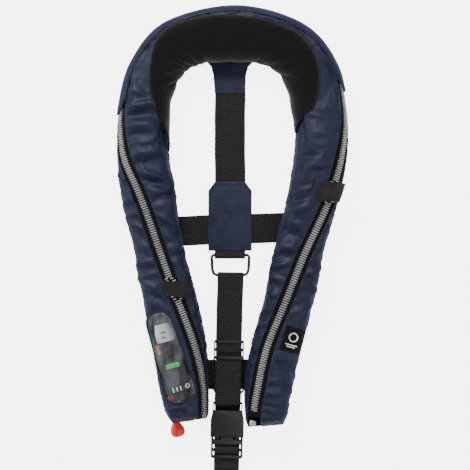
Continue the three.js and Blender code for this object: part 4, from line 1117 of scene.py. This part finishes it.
def puffed_plate(name, outline, low, high, look, nodes, puff=1.2, seam=3.2, body=ROOT):
    """A sewn fabric panel: outline in millimetres, edges folded under, middle slightly raised."""
    outline = np.array(outline, float)
    dense = []
    for a, b in zip(outline, np.roll(outline, -1, 0)):
        steps = max(int(np.linalg.norm(b - a) / 1.5), 1)
        dense.extend(a + (b - a) * k / steps for k in range(steps))
    dense = np.array(dense)
    centre = dense.mean(axis=0)
    rings, levels = [], np.array([1.0, 0.996, 0.985, 0.965, 0.94, 0.9, 0.82, 0.7, 0.55, 0.4, 0.25, 0.1, 0.02])
    for level in levels:
        xy = centre + (dense - centre) * level
        waves = 0.3 * np.sin(xy[:, 0] * 0.23 + 1) * np.sin(xy[:, 1] * 0.17)
        rise = puff * (1 - level ** 6) + waves * (1 - level ** 8)
        groove = 0.35 * np.exp(-((level - 0.9) / 0.02) ** 2)
        z = np.where(level == 1.0, (low + high) / 2, high + rise - groove)
        rings.append(np.column_stack([xy, np.broadcast_to(z, len(xy))]))
    bottom = np.column_stack([centre + (dense - centre) * 0.99, np.full(len(dense), low)])
    count = len(dense)
    points = np.vstack([bottom, *rings])
    faces = [tuple(range(count))] + grid_faces(len(rings) + 1, count, wrap=True)
    faces.append(tuple(range(len(rings) * count, (len(rings) + 1) * count))[::-1])
    uv = points[:, :2] * MM
    obj = face_out(piece(name, points * MM, faces, look, body, uv))
    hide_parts(*nodes)
    inner = centre + (dense - centre) * (1 - seam / np.abs(dense - centre).max())
    line = np.column_stack([inner, np.full(count, high + puff * 0.55)]) * MM
    line = np.vstack([line, line[:1]])
    stitch_row(f"{name}_seam", line, upright(line))
    return obj


def build_patches():
    w, l = 28.5, 45.5
    outline = [(-w, -l), (w, -l), (w, l - 12), (w - 9, l), (-w + 9, l), (-w, l - 12)]
    top = BELT_LOW + 2 * BELT_THICK + 3 * LAYER
    puffed_plate("back_patch", outline, top, top + 0.8, NAVY, ["back_patch_front"])
    puffed_plate("back_patch_under", outline, 0.02, 0.8, NAVY, ["back_patch_rear"], 0.0)
    tab = [(-36, 222), (36, 222), (31, 203), (24, 196), (21, 185), (20, 161),
           (-20, 161), (-22, 185), (-25, 196), (-31, 203)]
    puffed_plate("yoke_patch", tab, BELT_LOW + BELT_THICK + LAYER, 4.0, NAVY, ["yoke_tab"], 0.6)


def build_belt_loops():
    """Navy loops that hold the belt under each lobe."""
    half, top = BELT_WIDTH / 2 + 1, POUCH_LOW + 1.3
    for side, x, tilt in (("left", -82.7, 99.3), ("right", 75.4, 78.7)):
        place = placed(x * MM, -0.1, tilt)
        path = [(-half - 1.2, top), (-half - 1.2, 0.6), (half + 1.2, 0.6), (half + 1.2, top)]
        loop = band(f"belt_loop_{side}_cloth", path, 36, 1.0, place, NAVY, wavy=0.0)
        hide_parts(f"belt_loop_{side}")


def build_label():
    """A plain woven patch with a generic bar and ring on it, sewn on the right lobe."""
    angle = math.radians(-17)
    turn = np.array([[math.cos(angle), -math.sin(angle)], [math.sin(angle), math.cos(angle)]])
    us, vs = np.linspace(-13.5, 13.5, 28), np.linspace(-16.5, 16.5, 34)
    flat = np.stack(np.meshgrid(vs, us, indexing="ij")[::-1], -1)
    plan = (flat @ turn.T + (81, -160)) * MM
    heights = on_right_lobe(plan.reshape(-1, 2)).reshape(flat.shape[:2])
    edge = np.minimum(13.5 - np.abs(flat[..., 0]), 16.5 - np.abs(flat[..., 1]))
    points = np.dstack([plan, heights + (0.00045 + 0.0006 * np.clip(edge / 1.5, 0, 1))])
    patch = surface("label_cloth", points, WEB, 0.0007)
    patch.data.materials[0] = TAPE
    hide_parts("label")

    def lifted(outline, extra=0.0013):
        world = (np.asarray(outline, float) @ turn.T + (81, -160)) * MM
        return np.column_stack([world, on_right_lobe(world) + extra])

    seam = [(-12.4, -15.4), (12.4, -15.4), (12.4, 15.4), (-12.4, 15.4), (-12.4, -15.4)]
    line = lifted(along_path(seam, 14), 0.0011)
    leaning = np.tile((0.2, 0, 1.0), (len(line), 1))
    stitch_row("label_seam", line, leaning, BLACK_THREAD, "black_webbing", pitch=0.0026)
    mark("label_ring", lifted(ring_outline(0, 3.2, 6.2)), lifted(ring_outline(0, 3.2, 4.6)))
    for number, (y, w) in enumerate(((-7.0, 8.0), (-9.6, 5.5))):
        top, low = ([(x, y + rise) for x in np.linspace(-w, w, 12)] for rise in (0.7, -0.7))
        mark(f"label_bar_{number}", lifted(top), lifted(low), closed=False)


def ring_outline(x, y, radius, count=40):
    angles = [2 * math.pi * k / count for k in range(count)]
    return [(x + radius * math.cos(angle), y + radius * math.sin(angle)) for angle in angles]


def mark(name, outer, inner, closed=True):
    """A flat printed shape between two lines, 0.1 mm thick."""
    points = np.stack([outer, inner])
    count = points.shape[1]
    faces = grid_faces(2, count, wrap=closed)
    obj = piece(name, points.reshape(-1, 3), faces, PRINT)
    outward(obj)
    thicken(obj, 0.00015)


def on_right_lobe(plan):
    """Height of the pouch's upper surface over plan points of the right lobe."""
    return pouch_height(plan, (16.2, 19.4), 0.0)[:, 2]


def build_inflator_details():
    """Slots in the cartridge's collar, a red tab, ribs on the body and two black cover plates."""
    axes = [np.array((INFLATOR.to_3x3() @ Vector(axis))[:]) for axis in ((1, 0, 0), (0, 1, 0), (0, 0, 1))]

    def blocks(name, rows, look, body):
        parts = []
        for at, size in rows:
            centre = np.array((INFLATOR @ (Vector(at) * MM))[:])
            parts.append(brick(centre, axes, [side * MM for side in size], 0.9))
        return joined(name, parts, look, body)

    slots = [((-1.5, 27.0, 12.1), (6, 1.6, 0.9)), ((-1.0, 33.6, 12.1), (6, 1.6, 0.9))]
    blocks("cartridge_slots", slots, BLACK, "cartridge")
    turns = [k * math.pi / 12 for k in range(12)]
    grip = [((12.0 * math.cos(turn), 25.5, 12.0 * math.sin(turn)), (0.9, 9.0, 0.9)) for turn in turns]
    blocks("cartridge_grip", grip, GREY, "cartridge")
    blocks("inflator_tab", [((-12.6, 12.5, 8.6), (3.6, 13, 5.2))], RED, ROOT)
    ribs = [((0, y, 10.0), (17 - 0.25 * abs(y + 22), 0.9, 0.7)) for y in range(-44, -18, 4)]
    blocks("inflator_ribs", ribs, BLACK, ROOT)
    covers = [((0, 9.0, 10.2), (22, 17, 0.9)), ((0, -11.0, 7.9), (21, 9, 0.5))]
    blocks("inflator_cover", covers, BLACK, ROOT)


def build_window_mark():
    """A ring and three short bars printed on the pane, in place of wording."""
    angle = math.radians(20)
    turn = np.array([[math.cos(angle), -math.sin(angle)], [math.sin(angle), math.cos(angle)]])

    def lifted(outline):
        world = (np.asarray(outline, float) @ turn.T + (-63.5, -222)) * MM
        return pouch_height(world, lift=0.0006)

    mark("window_ring", lifted(ring_outline(9.5, 0, 3.0)), lifted(ring_outline(9.5, 0, 2.0)))
    for number, x in enumerate((-10.5, -5.5, -0.5)):
        mark(f"window_bar_{number}", lifted([(x, y) for y in np.linspace(-2.8, 2.8, 6)]),
             lifted([(x + 1.6, y) for y in np.linspace(-2.8, 2.8, 6)]), closed=False)


# ---- moulded and metal pieces: the CAD's own shapes with softened edges ------------------------------------

RIGID = {
    "crotch_adjuster": (BLACK, 0.7), "buckle_female": (BLACK, 1.1), "buckle_male": (BLACK, 0.7),
    "buckle_prong_left": (BLACK, 0.5), "buckle_prong_right": (BLACK, 0.5), "ring": (BLACK, 0.0),
    "zip_slider_left": (TOOTH, 0.35), "zip_slider_right": (TOOTH, 0.35), "zip_end_box": (TOOTH, 0.8),
    "inflator_body": (BLACK, 1.3), "status_indicator": (GREEN, 0.5), "auto_cartridge": (GREY, 0.6),
    "cartridge_cap": (BLACK, 0.8), "co2_cylinder": (STEEL, 0.0), "manifold_gasket": (RUBBER, 0.2),
    "firing_lever": (RED, 0.7), "lever_pin": (STEEL, 0.2), "pull_lanyard": (RED, 0.0),
    "pull_toggle": (RED, 0.0),
    "oral_tube": (BLACK, 0.0), "oral_tube_cap": (RED, 0.6), "whistle": (ORANGE, 1.0),
    "belt_buckle_loop": (STEEL, 0.0), "belt_buckle_hook": (STEEL, 0.25)}


def build_rigid():
    for node, (look, edge) in RIGID.items():
        source = frame["nodes"][node]
        mesh = source.data.copy()
        mesh.transform(source.matrix_world)
        mesh.materials.clear()
        mesh.materials.append(look)
        obj = bpy.data.objects.new(f"{node}_shape", mesh)
        bpy.context.scene.collection.objects.link(obj)
        weld = obj.modifiers.new("weld", "WELD")
        weld.merge_threshold = 0.00002
        if edge:
            bevel = obj.modifiers.new("edge", "BEVEL")
            bevel.width = edge * MM
            bevel.segments = 3
            bevel.limit_method = "ANGLE"
            bevel.angle_limit = math.radians(38)
            bevel.use_clamp_overlap = True
        else:
            rounded = obj.modifiers.new("rounded", "SUBSURF")
            rounded.levels = rounded.render_levels = 2
        apply_modifiers(obj)
        obj.data.shade_smooth()
        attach(obj, BODY_OF[node])
        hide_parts(node)


def dress_cad():
    """Gives every CAD node its procedural material."""
    for node, obj in frame["nodes"].items():
        obj.data.materials.clear()
        obj.data.materials.append(CAD_LOOKS[SLOTS[node]])


# ---- picture ------------------------------------------------------------------------------------------

def area_light(name, place, target, size, power, colour=(1, 1, 1)):
    data = bpy.data.lights.new(name, "AREA")
    data.shape = "RECTANGLE"
    data.size, data.size_y = size
    data.energy = power
    data.color = colour
    light = bpy.data.objects.new(name, data)
    bpy.context.scene.collection.objects.link(light)
    light.location = place
    light.rotation_euler = (Vector(target) - Vector(place)).to_track_quat("-Z", "Y").to_euler()


def build_stage():
    """White ground, soft light from above the collar, and the camera straight above."""
    ground = bpy.data.materials.new("white_ground")
    ground.use_nodes = True
    shader = ground.node_tree.nodes["Principled BSDF"]
    shader.inputs["Base Color"].default_value = (0.9, 0.9, 0.9, 1)
    shader.inputs["Roughness"].default_value = 0.9
    shader.inputs["Emission Color"].default_value = (1, 1, 1, 1)
    shader.inputs["Emission Strength"].default_value = 5.0
    mesh = bpy.data.meshes.new("ground")
    far, low = 3, -0.0006
    corners = [(-far, -far, low), (far, -far, low), (far, far, low), (-far, far, low)]
    mesh.from_pydata(corners, [], [(0, 1, 2, 3)])
    mesh.materials.append(ground)
    floor = bpy.data.objects.new("ground", mesh)
    bpy.context.scene.collection.objects.link(floor)
    floor.visible_glossy = False

    world = bpy.data.worlds.new("studio")
    bpy.context.scene.world = world
    world.use_nodes = True
    world.node_tree.nodes["Background"].inputs["Color"].default_value = (1, 1, 1, 1)
    world.node_tree.nodes["Background"].inputs["Strength"].default_value = 0.4
    area_light("key", (-0.35, 1.3, 1.5), (0, 0, 0), (0.9, 0.5), 34)
    area_light("fill", (0.9, -0.5, 1.6), (0, 0, 0), (1.2, 1.2), 10)
    area_light("rim", (-1.3, 0.2, 0.7), (0, 0, 0), (0.5, 0.9), 7)

    distance, width, centre = 2.4, 0.611, (0.0065, -0.0247)
    data = bpy.data.cameras.new("camera")
    data.sensor_width = 36
    data.lens = 36 * distance / width
    camera = bpy.data.objects.new("camera", data)
    bpy.context.scene.collection.objects.link(camera)
    camera.location = (*centre, distance + 0.025)
    bpy.context.scene.camera = camera


dress_cad()
build_cover()
build_bladder()
build_lining()
build_collar()
build_zip_guard()
build_zip()
build_garage("left")
build_garage("right")
build_window()
build_window_mark()
build_inflator_details()
build_label()
build_back_webbing()
build_crotch_webbing()
build_lower_webbing()
build_waist_belt()
build_belt_loops()
build_patches()
build_rigid()
build_stage()
